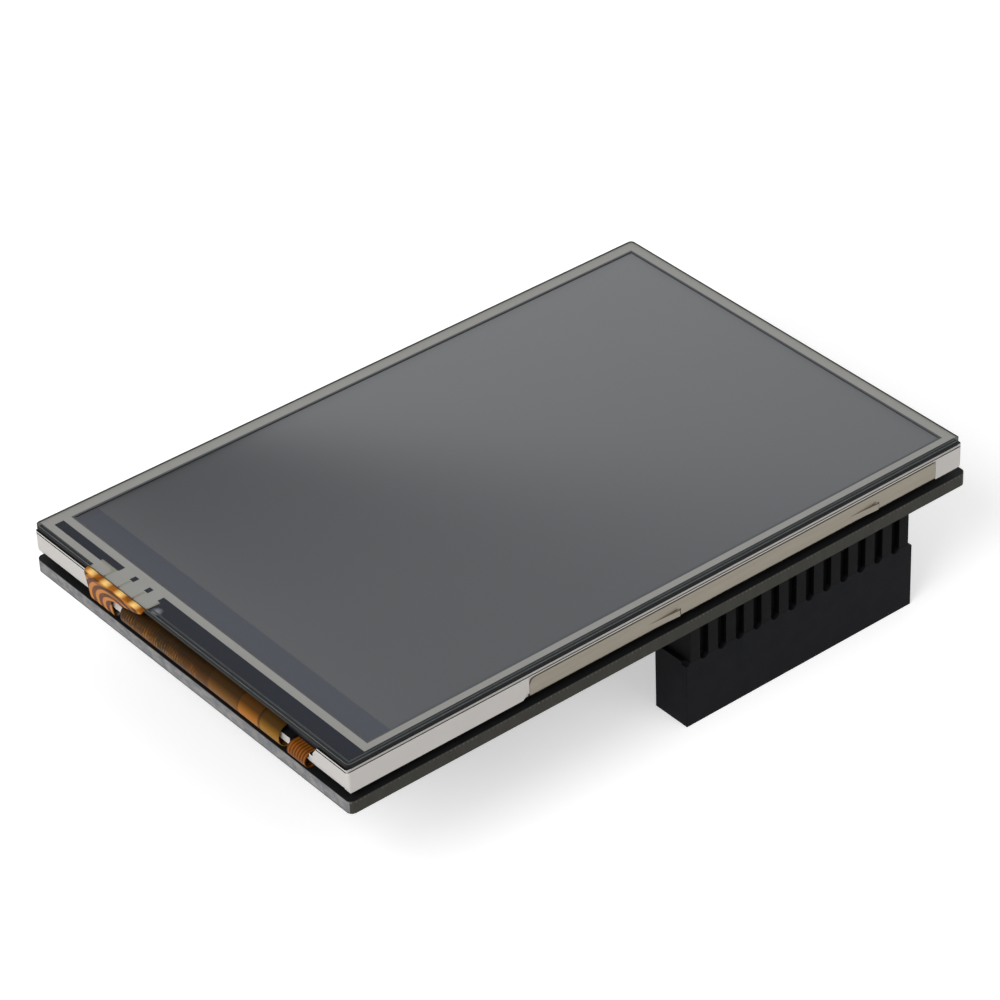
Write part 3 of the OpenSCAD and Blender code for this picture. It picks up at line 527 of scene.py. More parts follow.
def seal_material(rgb):
    """Dark adhesive ring with the painted highlight of a clear glue drop beside the tail.

    It is painted paler outside the lines on the two far sides, as painted light, and painted
    as light as the screen with its reflection where it shows inside them, as a painted
    reflection.
    """
    s = Surface("seal_adhesive", rgb, Roughness=0.5, Specular_IOR_Level=0.1)
    x, y = s.axis("X"), s.axis("Y")
    # On the two far sides it is painted paler outside the lines: painted light.
    far = s.math("MAXIMUM", s.contrast(y, board_y(54.8), board_y(54.9)),
                 s.contrast(x, board_x(84.3), board_x(84.4)))
    body = s.mix(far, s.varied(s.noise(0.008, 2), rgb, 0.94, 1.06), linear((112, 116, 108)))
    # Inside the lines it is painted as light as the screen looks with its reflection: a
    # painted reflection.
    inside = s.product(s.band(x, PANEL_LOW.x + 3.7 * MM, PANEL_HIGH.x - 1.35 * MM),
                       s.band(y, PANEL_LOW.y + 1.65 * MM, PANEL_HIGH.y - 1.5 * MM))
    body = s.mix(inside, body, linear((84, 87, 91)))
    # A pale spot beside the tail is the painted highlight of a clear glue drop.
    spot = on_board(*DROP_HIGHLIGHT_AT)
    away = s.distance(s.math("SUBTRACT", x, spot.x), s.math("SUBTRACT", y, spot.y))
    drop_highlight = s.contrast(s.math("ADD", away, s.scale(s.noise(0.0008), 0.0, 0.5 * MM)),
                       1.0 * MM, 0.4 * MM)
    s.use_colour(s.mix(s.product(drop_highlight, 0.8), body, linear((140, 146, 152))))
    return s.material


def screen_material(screen, border, edge):
    """Matte screen with the bluish bare glass of the cell along its flex end."""
    s = Surface("screen", screen, Roughness=0.06, IOR=1.6)
    bare = s.contrast(s.axis("X"), board_x(edge + 0.12), board_x(edge - 0.12))
    lit = s.varied(s.noise(0.03, 2), screen, 0.94, 1.06)
    return s.use_colour(s.mix(bare, lit, (*border, 1))).material


def cell_glass_material(rgb):
    """Dark glass of the display cell."""
    return Surface("cell_glass", rgb, Roughness=0.06, IOR=1.6).mottled(0.01, 0.05).material


def plastic_material(name, rgb, roughness=0.5, **values):
    """Moulded plastic with a fine eroded grain."""
    s = Surface(name, rgb, Roughness=roughness, **values)
    s.mottled(0.004, 0.05)
    s.use_roughness(s.scale(s.noise(0.002), roughness - 0.08, roughness + 0.1))
    return s.bump(s.noise(0.00025, 4), 0.000004).material


def steel_material(rgb):
    """Pressed steel with rolling streaks along its length."""
    s = Surface("pressed_steel", rgb, Metallic=1.0, Roughness=0.42)
    streaks = s.noise(0.0006, 4, (0.06, 1, 1))
    s.use_colour(s.varied(streaks, rgb, 0.86, 1.1))
    s.use_roughness(s.scale(s.noise(0.0015, 3, (0.2, 1, 1)), 0.34, 0.52))
    return s.bump(streaks, 0.000002).material


def display_flex_material(flex):
    """Polyimide over tracks, with two golden areas at the socket side, painted glints on the
    tracks and painted shade on its upper part.
    """
    s = Surface("display_flex", flex.olive, Roughness=0.45, Specular_IOR_Level=0.06)
    y, z = s.axis("Y"), s.axis("Z")
    olive, glint_gold, copper = (*flex.olive, 1), (*flex.glint_gold, 1), (*flex.copper, 1)
    patches = s.mix(s.contrast(s.noise(0.0035, 3), 0.35, 0.65), olive,
                    s.mix(0.45, olive, (*flex.amber, 1)))
    ground = s.painted(patches, y, (
        (board_y(18.5), board_y(23.5), s.mix(0.3, olive, copper)),
        (board_y(14.95), board_y(18.3), linear((172, 108, 34))),
        (board_y(11.2), board_y(14.6), linear((152, 106, 34)))))
    tracks = s.math("ADD", s.band(y, board_y(28.5), board_y(39.2), 0.0012),
                    s.math("ADD", s.band(y, board_y(25.7), board_y(26.6)),
                           s.band(y, board_y(14.7), board_y(15.0))))
    # Glints follow the tracks, a little slanted, on the lower half of the bend.
    glints = s.stripes(s.math("ADD", y, s.product(z, 0.25)), 0.4 * MM)
    glints = s.product(glints, s.contrast(s.noise(0.0009, 2), 0.4, 0.6))
    glints = s.product(glints, s.contrast(z, board_z(4.3), board_z(3.5)))
    face = s.mix(s.product(s.product(glints, tracks), 0.75), ground, glint_gold)
    # Towards the top, under the panel's edge, the flex is painted dark: painted shade.
    above = s.contrast(z, board_z(3.1), board_z(4.0))
    s.use_colour(s.mix(s.product(above, 0.85), face, shaded(flex.olive, 0.35)))
    return s.bump(s.product(s.stripes(y, 0.46 * MM), tracks), 0.00002).material


def touch_tail_material(flex):
    """Amber tail with curved tracks, a painted lit crest with painted glints and painted
    shade under it; its tongue between film and glass is grey.
    """
    s = Surface("touch_tail", flex.amber, Roughness=0.3, Specular_IOR_Level=0.05)
    x, y, z = (s.axis(name) for name in "XYZ")
    turn = on_board(*TAIL_TURN)
    radius = s.distance(s.math("SUBTRACT", y, turn.y),
                        s.product(s.math("SUBTRACT", z, turn.z), 1.6))
    track = s.stripes(radius, 1.25 * MM, 0.3 * MM, -0.3, 0.5)
    ground = s.mix(s.contrast(s.noise(0.0012), 0.3, 0.7), linear((78, 34, 4)),
                   linear((120, 62, 12)))
    body = s.mix(track, ground, linear((206, 130, 48)))
    # A band under the crest is painted dark with the shade colour: painted shade.
    below = s.band(z, board_z(5.1), board_z(5.5), 0.0002)
    body = s.mix(s.product(below, 0.7), body, (*flex.shade, 1))
    # The crest of the bend is painted plain, lighter amber, as lit, with a painted glint on
    # each track.
    crest = s.band(z, board_z(5.78), board_z(6.3), 0.0001)
    glint = s.stripes(s.math("ADD", y, s.product(z, 0.9)), 2.6 * MM,
                      board_y(41.6) + 0.9 * board_z(5.95), -0.6, 1.0)
    body = s.mix(s.product(crest, 0.8), body, (*flex.amber, 1))
    body = s.mix(s.product(crest, glint), body, linear((255, 208, 122)))
    tongue = s.contrast(x, board_x(0.45), board_x(0.6))
    grey = s.mix(s.contrast(s.noise(0.002), 0.4, 0.6), linear((142, 146, 130)),
                 linear((150, 136, 126)))
    s.use_colour(s.mix(tongue, body, grey))
    return s.bump(track, 0.00004).material


def backlight_flex_material(flex):
    """Narrow brown tail with fine copper ribs."""
    s = Surface("backlight_flex", flex.copper, Roughness=0.45, Specular_IOR_Level=0.06)
    ribs = s.stripes(s.axis("Y"), 0.42 * MM, 0.0, -0.4, 0.6)
    brown = s.mix(s.scale(s.noise(0.002), 0.0, 0.6), (*flex.shade, 1), (*flex.amber, 1))
    s.use_colour(s.mix(s.product(ribs, 0.55), brown, linear((176, 104, 40))))
    return s.bump(ribs, 0.00002).material


def mask_material(rgb):
    """Solder mask that shows the tracks beneath it as a faint relief."""
    s = Surface("solder_mask", rgb, Roughness=0.4, Specular_IOR_Level=0.45)
    along = s.contrast(s.noise(0.006, 2, (0.12, 1, 1)), 0.5, 0.53)
    across = s.contrast(s.noise(0.006, 2, (1, 0.12, 1)), 0.53, 0.56)
    tracks = s.math("MAXIMUM", s.product(along, s.stripes(s.axis("Y"), 0.7 * MM)),
                    s.product(across, s.stripes(s.axis("X"), 0.7 * MM)))
    s.use_colour(s.varied(tracks, rgb, 1.0, 1.9))
    return s.bump(tracks, 0.00003).material


def scored_edge_material(rgb):
    """Broken glass-fibre edge: pale and mottled, with a dark line above and below."""
    s = Surface("scored_edge", rgb, Roughness=0.75, Specular_IOR_Level=0.2)
    cool = (*(c * k for c, k in zip(rgb, (0.72, 0.76, 0.84))), 1)
    warm = (*(min(1, c * k) for c, k in zip(rgb, (1.16, 1.12, 1.12))), 1)
    blotches = s.contrast(s.noise(0.0007, 5, (1, 0.6, 1)), 0.4, 0.6)
    low, high = BOARD_LOW.z, BOARD_HIGH.z
    s.use_colour(s.painted(s.mix(blotches, cool, warm), s.axis("Z"), (
        (low - 0.0002, low + 0.00014, linear((84, 84, 86))),
        (high - 0.0001, high + 0.0002, linear((20, 20, 21)))), 0.00004))
    return s.bump(blotches, 0.00004).material


def routed_edge_material(rgb):
    """Routed side: dark laminate with fine pale glass ends just under the upper arris."""
    s = Surface("routed_side", rgb, Roughness=0.6, Specular_IOR_Level=0.15)
    body = s.varied(s.noise(0.0008, 4, (1, 1, 0.3)), rgb, 0.75, 1.3)
    ends = s.product(s.stripes(s.axis("X"), 0.55 * MM, 0.0, 0.2, 0.9),
                     s.band(s.axis("Z"), BOARD_HIGH.z - 0.28 * MM, BOARD_HIGH.z - 0.1 * MM))
    ends = s.product(ends, s.contrast(s.noise(0.0015, 2), 0.35, 0.65))
    s.use_colour(s.mix(s.product(ends, 0.5), body, linear((122, 120, 112))))
    return s.bump(s.noise(0.0003, 3), 0.00001).material


def metal_material(name, rgb255, roughness):
    """Bare metal with a fine mottle in colour and gloss."""
    s = Surface(name, linear(rgb255), Metallic=1.0, Roughness=roughness)
    s.mottled(0.0004, 0.12, 4)
    s.use_roughness(s.scale(s.noise(0.0003), roughness - 0.08, roughness + 0.12))
    return s.material


def plain_material(name, rgb255, roughness, **values):
    """A small or inner piece: its colour mottled over its face."""
    s = Surface(name, linear(rgb255), Roughness=roughness, **values)
    s.mottled(0.002, 0.08)
    return s.bump(s.noise(0.0005), 0.000002).material


# ------------------------------------------------------------------ operators


class PieceOperator:
    """What every operator here shares."""
    bl_options = {"REGISTER", "UNDO"}


class DISPLAY_OT_touch_panel(PieceOperator, bpy.types.Operator):
    """Film, glass, silver lines and adhesive of the touch panel"""
    bl_idname = "display_module.touch_panel"
    bl_label = "Touch Panel"

    def execute(self, context):
        settings = context.scene.module_panel
        # The faces that film and glass turn to each other are left out: one sees
        # through fewer layers, and the printed lines between them stay clean.
        film = softened("touch_film", "panel_film", settings.film_edge)
        select_faces(film, lambda c, n: n.z < -LEVEL_FACE)
        bpy.ops.mesh.delete(type="FACE")
        bpy.ops.object.mode_set(mode="OBJECT")
        place(film, film_material(), edge_material("film_edge", linear((44, 46, 42))),
              slot="touch_film", stands_for=["touch_film"])
        glass = merged_copy("touch_glass", "panel_glass")
        select_faces(glass, lambda c, n: n.z < -LEVEL_FACE)
        bpy.ops.transform.translate(value=(0, 0, 0.004 * MM))
        bpy.ops.object.mode_set(mode="OBJECT")
        round_edges(glass, settings.glass_edge, 1)
        select_faces(glass, lambda c, n: n.z > LEVEL_FACE)
        bpy.ops.mesh.delete(type="FACE")
        bpy.ops.object.mode_set(mode="OBJECT")
        # The stack is bonded, so the screen shows on the glass's lower face.
        place(glass, screen_material(settings.screen, settings.border, BARE_GLASS_END),
              edge_material("glass_edge", linear((16, 17, 15))),
              slot="touch_glass", stands_for=["touch_glass"])
        # The film's upward-facing arris is painted pale: a painted highlight.
        film.data.materials.append(edge_material("film_arris_highlight", linear((112, 116, 108))))
        for sheet in (film, glass):
            paint_faces(sheet, 1, lambda c, n: abs(n.z) < LEVEL_FACE)
        paint_faces(film, 2, lambda c, n: 0.2 < n.z < LEVEL_FACE)
        self.edge_line(settings)
        dress("touch_electrodes", ink_material(settings.ink))
        dress("touch_spacer", seal_material(settings.seal))
        dress("touch_gasket", still_material("gasket_tape", settings.ledge))
        # The bonded glass has no gap in which the rings above it could be mirrored.
        for node in ("touch_electrodes", "touch_spacer"):
            NODES[node].visible_glossy = False
        return {"FINISHED"}

    def edge_line(self, settings):
        """Thin printed line just inside the panel's edge, open where the tail leaves."""
        inset = settings.line_inset
        line = printed_rectangle(PANEL_LOW, PANEL_HIGH, -inset, settings.line_width,
                                 PANEL_HIGH.z + 0.031 * MM, 0.005 * MM)
        line.name = "edge_line"
        neck_low, neck_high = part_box("touch_tail")
        bpy.ops.mesh.primitive_cube_add(
            size=1, location=(PANEL_LOW.x + inset, (neck_low.y + neck_high.y) / 2,
                              PANEL_HIGH.z))
        cutter = bpy.context.active_object
        cutter.scale = (4 * MM, neck_high.y - neck_low.y + 0.6 * MM, 1 * MM)
        activate(line)
        opening = line.modifiers.new("Tail opening", "BOOLEAN")
        opening.object = cutter
        opening.operation = "DIFFERENCE"
        bpy.ops.object.modifier_apply(modifier=opening.name)
        bpy.data.objects.remove(cutter)
        place(line, edge_material("edge_line", settings.line, 0.6), slot="silver_ink")


class DISPLAY_OT_display_cell(PieceOperator, bpy.types.Operator):
    """Polarizers, glasses and driver chip of the display cell"""
    bl_idname = "display_module.display_cell"
    bl_label = "Display Cell"

    def execute(self, context):
        settings = context.scene.module_panel
        dress("front_polarizer", screen_material(settings.screen, settings.border, 0))
        dress("color_filter_glass", cell_glass_material(settings.border))
        dress("tft_glass", still_material("ledge_glass", settings.ledge, 0.3, 0.3))
        dress("rear_polarizer", cell_glass_material(settings.border))
        dress("driver_chip", plain_material("driver_silicon", (40, 42, 50), 0.5))
        return {"FINISHED"}


class DISPLAY_OT_backlight(PieceOperator, bpy.types.Operator):
    """Films, light guide and diodes under the display cell"""
    bl_idname = "display_module.backlight"
    bl_label = "Backlight"

    def execute(self, context):
        dress("rim_tape", plain_material("rim_tape", (18, 18, 19), 0.6,
                                         Specular_IOR_Level=0.1))
        for node in ("prism_film_upper", "prism_film_lower", "diffuser_film"):
            dress(node, plain_material(node, (226, 228, 230), 0.5))
        dress("light_guide", plain_material("light_guide", (220, 230, 230), 0.15))
        dress("reflector_sheet", plain_material("reflector", (244, 244, 242), 0.45))
        dress("backlight_leds", plain_material("diode", (236, 230, 190), 0.4))
        return {"FINISHED"}


def inside_frame(point, skin):
    """Whether a point lies more than skin inside the frame's outer sides."""
    return all(FRAME_LOW[i] + skin < point[i] < FRAME_HIGH[i] - skin for i in (0, 1))


class DISPLAY_OT_frame(PieceOperator, bpy.types.Operator):
    """Moulded frame and steel tray"""
    bl_idname = "display_module.frame"
    bl_label = "Frame and Tray"

    def execute(self, context):
        settings = context.scene.module_frame
        moulding = softened("backlight_frame", "frame_moulding", settings.plastic_edge,
                            whole_faces=False)
        place(moulding, plastic_material("frame_plastic", settings.plastic),
              still_material("frame_tape", settings.tape, 0.6, 0.1),
              slot="frame_plastic", stands_for=["backlight_frame"])
        paint_faces(moulding, 1, lambda c, n: n.z > 0.9 or (
            inside_frame(c, 0.32 * MM) and n.z > -0.5 and c.z > FRAME_LOW.z + 0.4 * MM))
        tray = softened("steel_shell", "steel_tray", settings.steel_edge)
        place(tray, steel_material(settings.steel), slot="shell_steel",
              stands_for=["steel_shell"])
        dress("foam_tapes", plain_material("foam", (14, 14, 15), 0.9,
                                           Specular_IOR_Level=0.05))
        return {"FINISHED"}


class DISPLAY_OT_flexes(PieceOperator, bpy.types.Operator):
    """Flexible circuits of display, touch panel and backlight"""
    bl_idname = "display_module.flexes"
    bl_label = "Flex Circuits"

    def execute(self, context):
        settings = context.scene.module_flex
        for node, name, slot, material in (
                ("display_flex", "display_flex_circuit", "dark_flex",
                 display_flex_material(settings)),
                ("touch_tail", "touch_tail_circuit", "amber_flex",
                 touch_tail_material(settings)),
                ("backlight_flex", "backlight_flex_circuit", "amber_flex",
                 backlight_flex_material(settings))):
            place(softened(node, name, settings.edge, 1), material, slot=slot,
                  stands_for=[node])
        return {"FINISHED"}


class DISPLAY_OT_board(PieceOperator, bpy.types.Operator):
    """Circuit board with its scored and routed edges"""
    bl_idname = "display_module.board"
    bl_label = "Circuit Board"

    def execute(self, context):
        settings = context.scene.module_board
        board = softened("circuit_board", "board_laminate", settings.edge)
        place(board, mask_material(settings.mask),
              scored_edge_material(settings.fibre), routed_edge_material(settings.routed),
              still_material("mask_under_tray", settings.mask, 0.6, 0.1),
              slot="board", stands_for=["circuit_board"])
        paint_faces(board, 3, lambda c, n: n.z >= 0.5)
        paint_faces(board, 2, lambda c, n: abs(n.z) < 0.5)
        paint_faces(board, 1, lambda c, n: abs(n.x) > 0.8)
        return {"FINISHED"}


def loose_parts(node, near=None):
    """Boxes round the loose parts of a CAD node, as (low, high).

    With near, only vertices within that many metres of the board's lower face count,
    which leaves the feet of leads.
    """
    mesh = bmesh.new()
    mesh.from_mesh(NODES[node].data)
    bmesh.ops.remove_doubles(mesh, verts=mesh.verts, dist=1e-7)
    boxes, seen = [], set()
    for start in mesh.verts:
        if start in seen:
            continue
        part, edge = [], [start]
        seen.add(start)
        while edge:
            vertex = edge.pop()
            part.append(vertex.co.copy())
            for link in vertex.link_edges:
                other = link.other_vert(vertex)
                if other not in seen:
                    seen.add(other)
                    edge.append(other)
        if near is not None:
            part = [co for co in part if abs(co.z - BOARD_LOW.z) < near]
        if part:
            boxes.append((Vector([min(co[i] for co in part) for i in range(3)]),
                          Vector([max(co[i] for co in part) for i in range(3)])))
    mesh.free()
    return boxes


def twin(piece):
    """A copy of a piece with a mesh of its own."""
    copy = piece.copy()
    copy.data = piece.data.copy()
    bpy.context.scene.collection.objects.link(copy)
    return copy


def joined(pieces, name):
    """Joins pieces into one, at the origin."""
    bpy.ops.object.select_all(action="DESELECT")
    for piece in pieces:
        piece.select_set(True)
    bpy.context.view_layer.objects.active = pieces[0]
    bpy.ops.object.join()
    piece = bpy.context.active_object
    piece.name = name
    bpy.ops.object.transform_apply(location=True, rotation=True, scale=True)
    return piece


class DISPLAY_OT_underside(PieceOperator, bpy.types.Operator):
    """Printed outlines, solder pads and vias on the board's lower face"""
    bl_idname = "display_module.underside"
    bl_label = "Board Underside"

    def execute(self, context):
        settings = context.scene.module_board
        level = BOARD_LOW.z
        boxes = [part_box(node) for node in CHIP_BODIES]
        boxes += loose_parts("chip_resistors") + loose_parts("chip_capacitors")
        gaps = [settings.outline_gap] * len(boxes)
        # The socket's outline runs closer to its comb.
        boxes.append(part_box("header_spacer"))
        gaps.append(settings.outline_gap * 0.6)
        outlines = [printed_rectangle(low, high, gap, settings.outline_line,
                                      level - PRINT_HEIGHT, PRINT_HEIGHT)
                    for (low, high), gap in zip(boxes, gaps)]
        place(joined(outlines, "printed_outlines"),
              edge_material("printed_ink", linear((208, 208, 204)), 0.7), slot="board")
        pads = []
        for node in SOLDERED_LEADS:
            for low, high in loose_parts(node, 0.12 * MM):
                pads.append(self.pad(low, high, settings.pad_margin, level, pads))
        place(joined(pads, "solder_pads"),
              metal_material("pad_solder", (190, 191, 194), 0.3), slot="solder")
        vias = place(joined(self.vias(level), "vias"),
                     metal_material("via_metal", (150, 140, 112), 0.4),
                     still_material("via_hole", linear((16, 16, 17))), slot="board")
        # The dent's floor is painted near black: painted shade for the depth of the hole.
        paint_faces(vias, 1, lambda c, n: n.z < -0.9 and c.z > level - VIA_HEIGHT / 3)
        return {"FINISHED"}

    def pad(self, low, high, margin, level, pads):
        """Solder pad under a foot: the first is modelled, the others are its copies."""
        if pads:
            piece = twin(pads[0])
        else:
            bpy.ops.object.select_all(action="DESELECT")
            bpy.ops.mesh.primitive_cube_add(size=1)
            piece = bpy.context.active_object
            bpy.ops.object.mode_set(mode="EDIT")
            bpy.ops.mesh.select_all(action="SELECT")
            bpy.ops.mesh.bevel(offset=0.14, segments=3)
            bpy.ops.object.mode_set(mode="OBJECT")
        piece.location = ((low.x + high.x) / 2, (low.y + high.y) / 2, level - PAD_HEIGHT / 2)
        piece.scale = (high.x - low.x + 2 * margin, high.y - low.y + 2 * margin, PAD_HEIGHT)
        return piece

    def vias(self, level):
        """Small plated holes in short rows beside the chips."""
        bpy.ops.object.select_all(action="DESELECT")
        bpy.ops.mesh.primitive_cylinder_add(
            vertices=20, radius=VIA_RADIUS, depth=VIA_HEIGHT,
            location=(0, 0, level - VIA_HEIGHT / 2))
        first = bpy.context.active_object
        select_faces(first, lambda c, n: n.z < -0.9)
        bpy.ops.mesh.inset(thickness=VIA_RING)
        bpy.ops.transform.translate(value=(0, 0, 0.8 * VIA_HEIGHT))
        bpy.ops.object.mode_set(mode="OBJECT")
        bpy.ops.object.transform_apply(location=True)
        rings = [first]
        for x, y, step_x, step_y, count in VIA_ROWS:
            for i in range(count):
                spot = on_board(x + i * step_x, y + i * step_y, 0)
                ring = twin(first)
                ring.location = (spot.x, spot.y, 0)
                rings.append(ring)
        spot = on_board(*VIA_ALONE, 0)
        first.location = (spot.x, spot.y, 0)
        return rings


class DISPLAY_OT_socket(PieceOperator, bpy.types.Operator):
    """Raised pin socket with its comb, contacts and solder joints"""
    bl_idname = "display_module.socket"
    bl_label = "Pin Socket"

    def execute(self, context):
        settings = context.scene.module_socket
        # The comb is the same plastic painted darker: painted shade from the board over it.
        comb = tuple(c * 0.4 for c in settings.plastic)
        for node, name, rgb in (("header_socket", "socket_block", settings.plastic),
                                ("header_spacer", "socket_comb", comb)):
            plastic = plastic_material(name, rgb, 0.6, Specular_IOR_Level=0.08)
            place(softened(node, name, settings.edge), plastic, slot="header_plastic",
                  stands_for=[node])
        dress("header_contacts", metal_material("contact_gold", (214, 184, 116), 0.3))
        dress("solder_joints", metal_material("solder", (196, 197, 200), 0.25))
        return {"FINISHED"}


class DISPLAY_OT_chips(PieceOperator, bpy.types.Operator):
    """Chips, transistor, resistors and capacitors under the board"""
    bl_idname = "display_module.chips"
    bl_label = "Chips"

    def execute(self, context):
        black = plain_material("moulding_compound", (34, 34, 36), 0.6)
        tin = metal_material("tinned_lead", (186, 186, 190), 0.35)
        for node in CHIP_BODIES:
            place(softened(node, node + "_body", context.scene.module_board.edge), black,
                  slot="chip_black", stands_for=[node])
        for node in SOLDERED_LEADS:
            dress(node, tin)
        dress("chip_resistors", plain_material("resistor_glaze", (24, 24, 28), 0.3))
        dress("chip_capacitors", plain_material("capacitor_ceramic", (168, 128, 92), 0.5))
        return {"FINISHED"}


def seen_ray(tree):
    """1 for what the camera sees, straight or by a mirror or clear piece, 0 for light."""
    path = tree.nodes.new("ShaderNodeLightPath")
    seen = path.outputs["Is Camera Ray"]
    for ray in ("Is Glossy Ray", "Is Transmission Ray"):
        either = tree.nodes.new("ShaderNodeMath")
        either.operation = "MAXIMUM"
        tree.links.new(seen, either.inputs[0])
        tree.links.new(path.outputs[ray], either.inputs[1])
        seen = either.outputs[0]
    return seen


def floor_material():
    """White floor that shows bright to the camera and still takes a soft shadow."""
    s = Surface("floor_white", linear((236, 236, 236)), Roughness=0.9, Specular_IOR_Level=0.0)
    s.mottled(0.2, 0.01)
    glow = s.node("Emission", {"Color": (1, 1, 1, 1),
                               "Strength": s.product(seen_ray(s.material.node_tree), 0.5)})
    both = s.node("AddShader")
    s.feed(both.inputs, (s.shader.outputs[0], glow.outputs[0]))
    # From below the floor is clear, so that the module's underside can be looked at.
    s.show(s.node("MixShader", {
        0: s.node("NewGeometry").outputs["Backfacing"], 1: both.outputs[0],
        2: s.node("BsdfTransparent").outputs[0]}))
    return s.material


def soft_lamp(name, direction, distance, size, watts, target):
    """A square soft lamp that looks at the target from the given direction."""
    data = bpy.data.lights.new(name, "AREA")
    data.shape = "SQUARE"
    data.size = size
    data.energy = watts
    lamp = bpy.data.objects.new(name, data)
    bpy.context.scene.collection.objects.link(lamp)
    direction = Vector(direction).normalized()
    lamp.location = target + direction * distance
    lamp.rotation_euler = direction.to_track_quat("Z", "Y").to_euler()
    return lamp


def card_material(level):
    """Glowing card: bright towards one end, with a dim strip before the bright part."""
    s = Surface("mirrored_card", (0, 0, 0, 1), Roughness=1.0, Specular_IOR_Level=0.0)
    # Where the mirrored point lies on the panel: 0 to 1 along its length and width.
    x, y = (s.math("ADD", start, s.node(
        "VectorMath", {0: s.coordinates, 1: run}, operation="DOT_PRODUCT").outputs["Value"])
        for start, run in ((0.537, (-2.15, -2.85, 0)), (0.538, (2.58, -5.67, 0))))
    middle = s.math("SUBTRACT", 0.76, s.product(y, 0.38))
    width = s.math("MAXIMUM", s.math("SUBTRACT", 0.6, s.product(y, 0.49)), 0.08)
    along = s.math("DIVIDE", s.math("SUBTRACT", x, middle), width)
    rise = s.smooth(along, -0.5, 0.5)
    height = s.math("ADD", 0.28, s.product(y, 0.34))
    dip = s.product(s.math("SUBTRACT", 1.0, rise), s.smooth(x, 0.04, 0.22))
    depth = s.math("ADD", 0.08, s.product(s.product(y, y), 0.42))
    glow = s.math("ADD", level, s.math("SUBTRACT", s.product(rise, height),
                                       s.product(dip, depth)))
    s.show(s.node("Emission", {"Color": (0.97, 0.985, 1.0, 1), "Strength": glow}))
    return s.material


def mirrored_card(brightness, target):
    """Card over the module's far side, placed where the panel mirrors it."""
    bpy.ops.object.select_all(action="DESELECT")
    bpy.ops.mesh.primitive_plane_add(size=0.7)
    card = bpy.context.active_object
    card.name = "mirrored_card"
    side, rise = Vector((-0.789, 0.614, 0)), Vector((-0.357, -0.458, 0.814))
    mirrored = side.cross(rise)
    card.matrix_world = (Matrix.Translation(target + mirrored * 1.5)
                         @ Matrix((side, rise, mirrored)).transposed().to_4x4())
    card.data.materials.append(card_material(brightness))
    card.visible_camera = False
    card.visible_diffuse = False
    card.visible_shadow = False


def view_camera(settings, target):
    """Camera that looks at the target as the stage settings say."""
    turn, rise, roll = settings.azimuth, settings.elevation, settings.roll
    level = Vector((math.cos(turn), math.sin(turn), 0))
    back = Vector((math.sin(turn) * math.cos(rise), -math.cos(turn) * math.cos(rise),
                   math.sin(rise)))
    upright = back.cross(level)
    right = level * math.cos(roll) + upright * math.sin(roll)
    up = upright * math.cos(roll) - level * math.sin(roll)
    data = bpy.data.cameras.new("camera")
    data.lens = settings.lens
    data.sensor_width = 36
    camera = bpy.data.objects.new("camera", data)
    bpy.context.scene.collection.objects.link(camera)
    spot = target + right * settings.right + up * settings.up + back * settings.distance
    camera.matrix_world = (Matrix.Translation(spot)
                           @ Matrix((right, up, back)).transposed().to_4x4())
    return camera


def studio_world(sky):
    """White surroundings, as bright as paper to the eye and dimmer as light."""
    world = bpy.data.worlds.new("studio")
    world.use_nodes = True
    tree = world.node_tree
    strength = tree.nodes.new("ShaderNodeMapRange")
    strength.inputs["To Min"].default_value = sky
    strength.inputs["To Max"].default_value = 1.0
    tree.links.new(seen_ray(tree), strength.inputs["Value"])
    background = tree.nodes["Background"]
    background.inputs["Color"].default_value = (1, 1, 1, 1)
    tree.links.new(strength.outputs[0], background.inputs["Strength"])
    return world


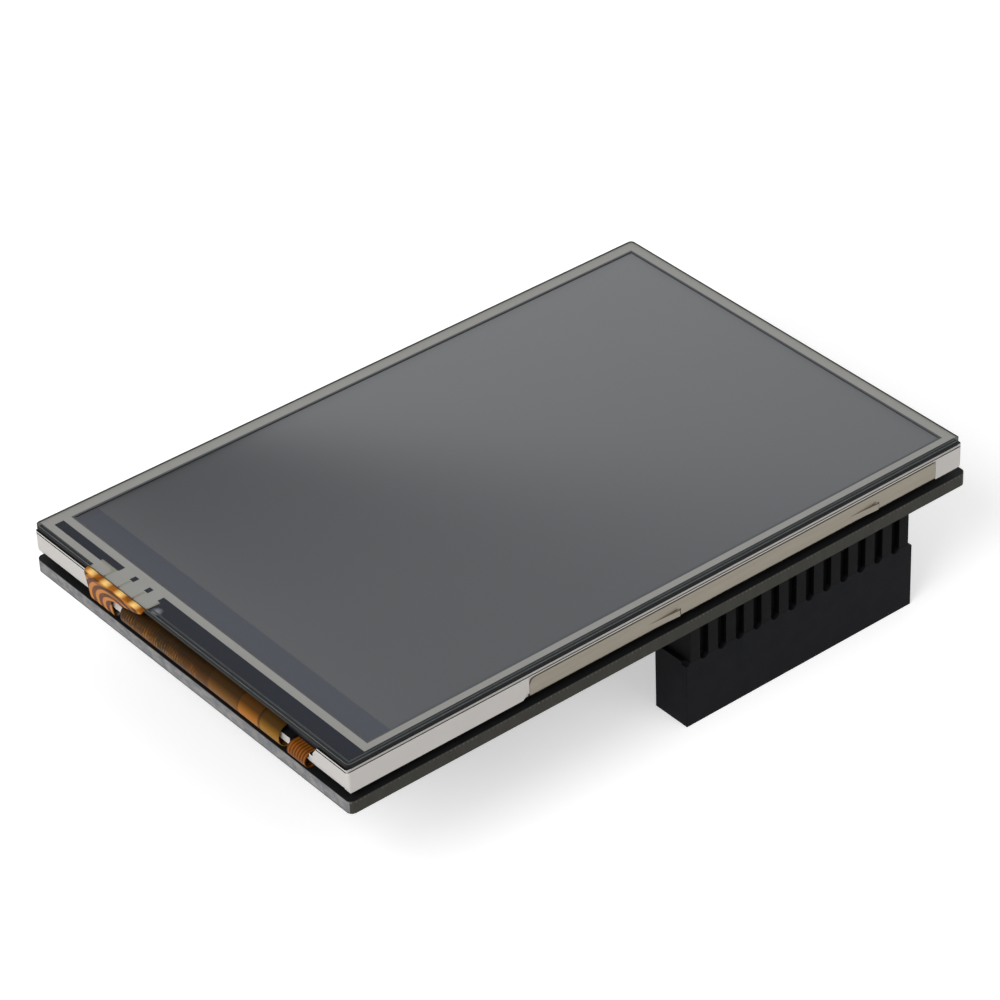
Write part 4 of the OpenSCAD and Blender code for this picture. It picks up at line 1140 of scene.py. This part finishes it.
class DISPLAY_OT_stage(PieceOperator, bpy.types.Operator):
    """Camera, white floor and soft light"""
    bl_idname = "display_module.stage"
    bl_label = "Stage"

    def execute(self, context):
        settings = context.scene.module_stage
        target = Vector(((BOARD_LOW.x + BOARD_HIGH.x) / 2,
                         (BOARD_LOW.y + BOARD_HIGH.y) / 2, BOARD_LOW.z))
        context.scene.camera = view_camera(settings, target)
        bpy.ops.object.select_all(action="DESELECT")
        bpy.ops.mesh.primitive_plane_add(size=6, location=(0, 0, CAD_BOX[0][2]))
        floor = context.active_object
        floor.name = "floor"
        floor.data.materials.append(floor_material())
        soft_lamp("lamp_left", (-1.0, -0.25, 0.9), 1.2, 0.7, 8.2, target)
        soft_lamp("lamp_front", (0.2, -1.0, 0.8), 1.4, 0.8, 2.7, target)
        mirrored_card(settings.card, target)
        context.scene.world = studio_world(settings.sky)
        context.scene.view_settings.view_transform = "Standard"
        return {"FINISHED"}


OPERATORS = (
    DISPLAY_OT_touch_panel, DISPLAY_OT_display_cell, DISPLAY_OT_backlight, DISPLAY_OT_frame,
    DISPLAY_OT_flexes, DISPLAY_OT_board, DISPLAY_OT_underside, DISPLAY_OT_socket,
    DISPLAY_OT_chips, DISPLAY_OT_stage)


class DISPLAY_PT_module(bpy.types.Panel):
    """Lists the operators that dress the module"""
    bl_idname = "DISPLAY_PT_module"
    bl_label = "Display Module"
    bl_space_type = "VIEW_3D"
    bl_region_type = "UI"
    bl_category = "Display Module"

    def draw(self, context):
        for operator in OPERATORS:
            self.layout.operator(operator.bl_idname)
        for name in SETTINGS:
            box = self.layout.box()
            group = getattr(context.scene, name)
            box.label(text=group.bl_rna.description)
            for key in group.bl_rna.properties.keys():
                if key not in {"rna_type", "name"}:
                    box.prop(group, key)


SETTINGS = {
    "module_panel": PanelSettings, "module_frame": FrameSettings, "module_flex": FlexSettings,
    "module_board": BoardSettings, "module_socket": SocketSettings,
    "module_stage": StageSettings}


def register():
    for name, group in SETTINGS.items():
        bpy.utils.register_class(group)
        setattr(bpy.types.Scene, name, PointerProperty(type=group))
    for item in (*OPERATORS, DISPLAY_PT_module):
        bpy.utils.register_class(item)


def unregister():
    for item in (DISPLAY_PT_module, *reversed(OPERATORS)):
        bpy.utils.unregister_class(item)
    for name, group in reversed(SETTINGS.items()):
        delattr(bpy.types.Scene, name)
        bpy.utils.unregister_class(group)


def main():
    register()
    for operator in OPERATORS:
        group, name = operator.bl_idname.split(".")
        getattr(getattr(bpy.ops, group), name)()


if __name__ == "__main__":
    main()
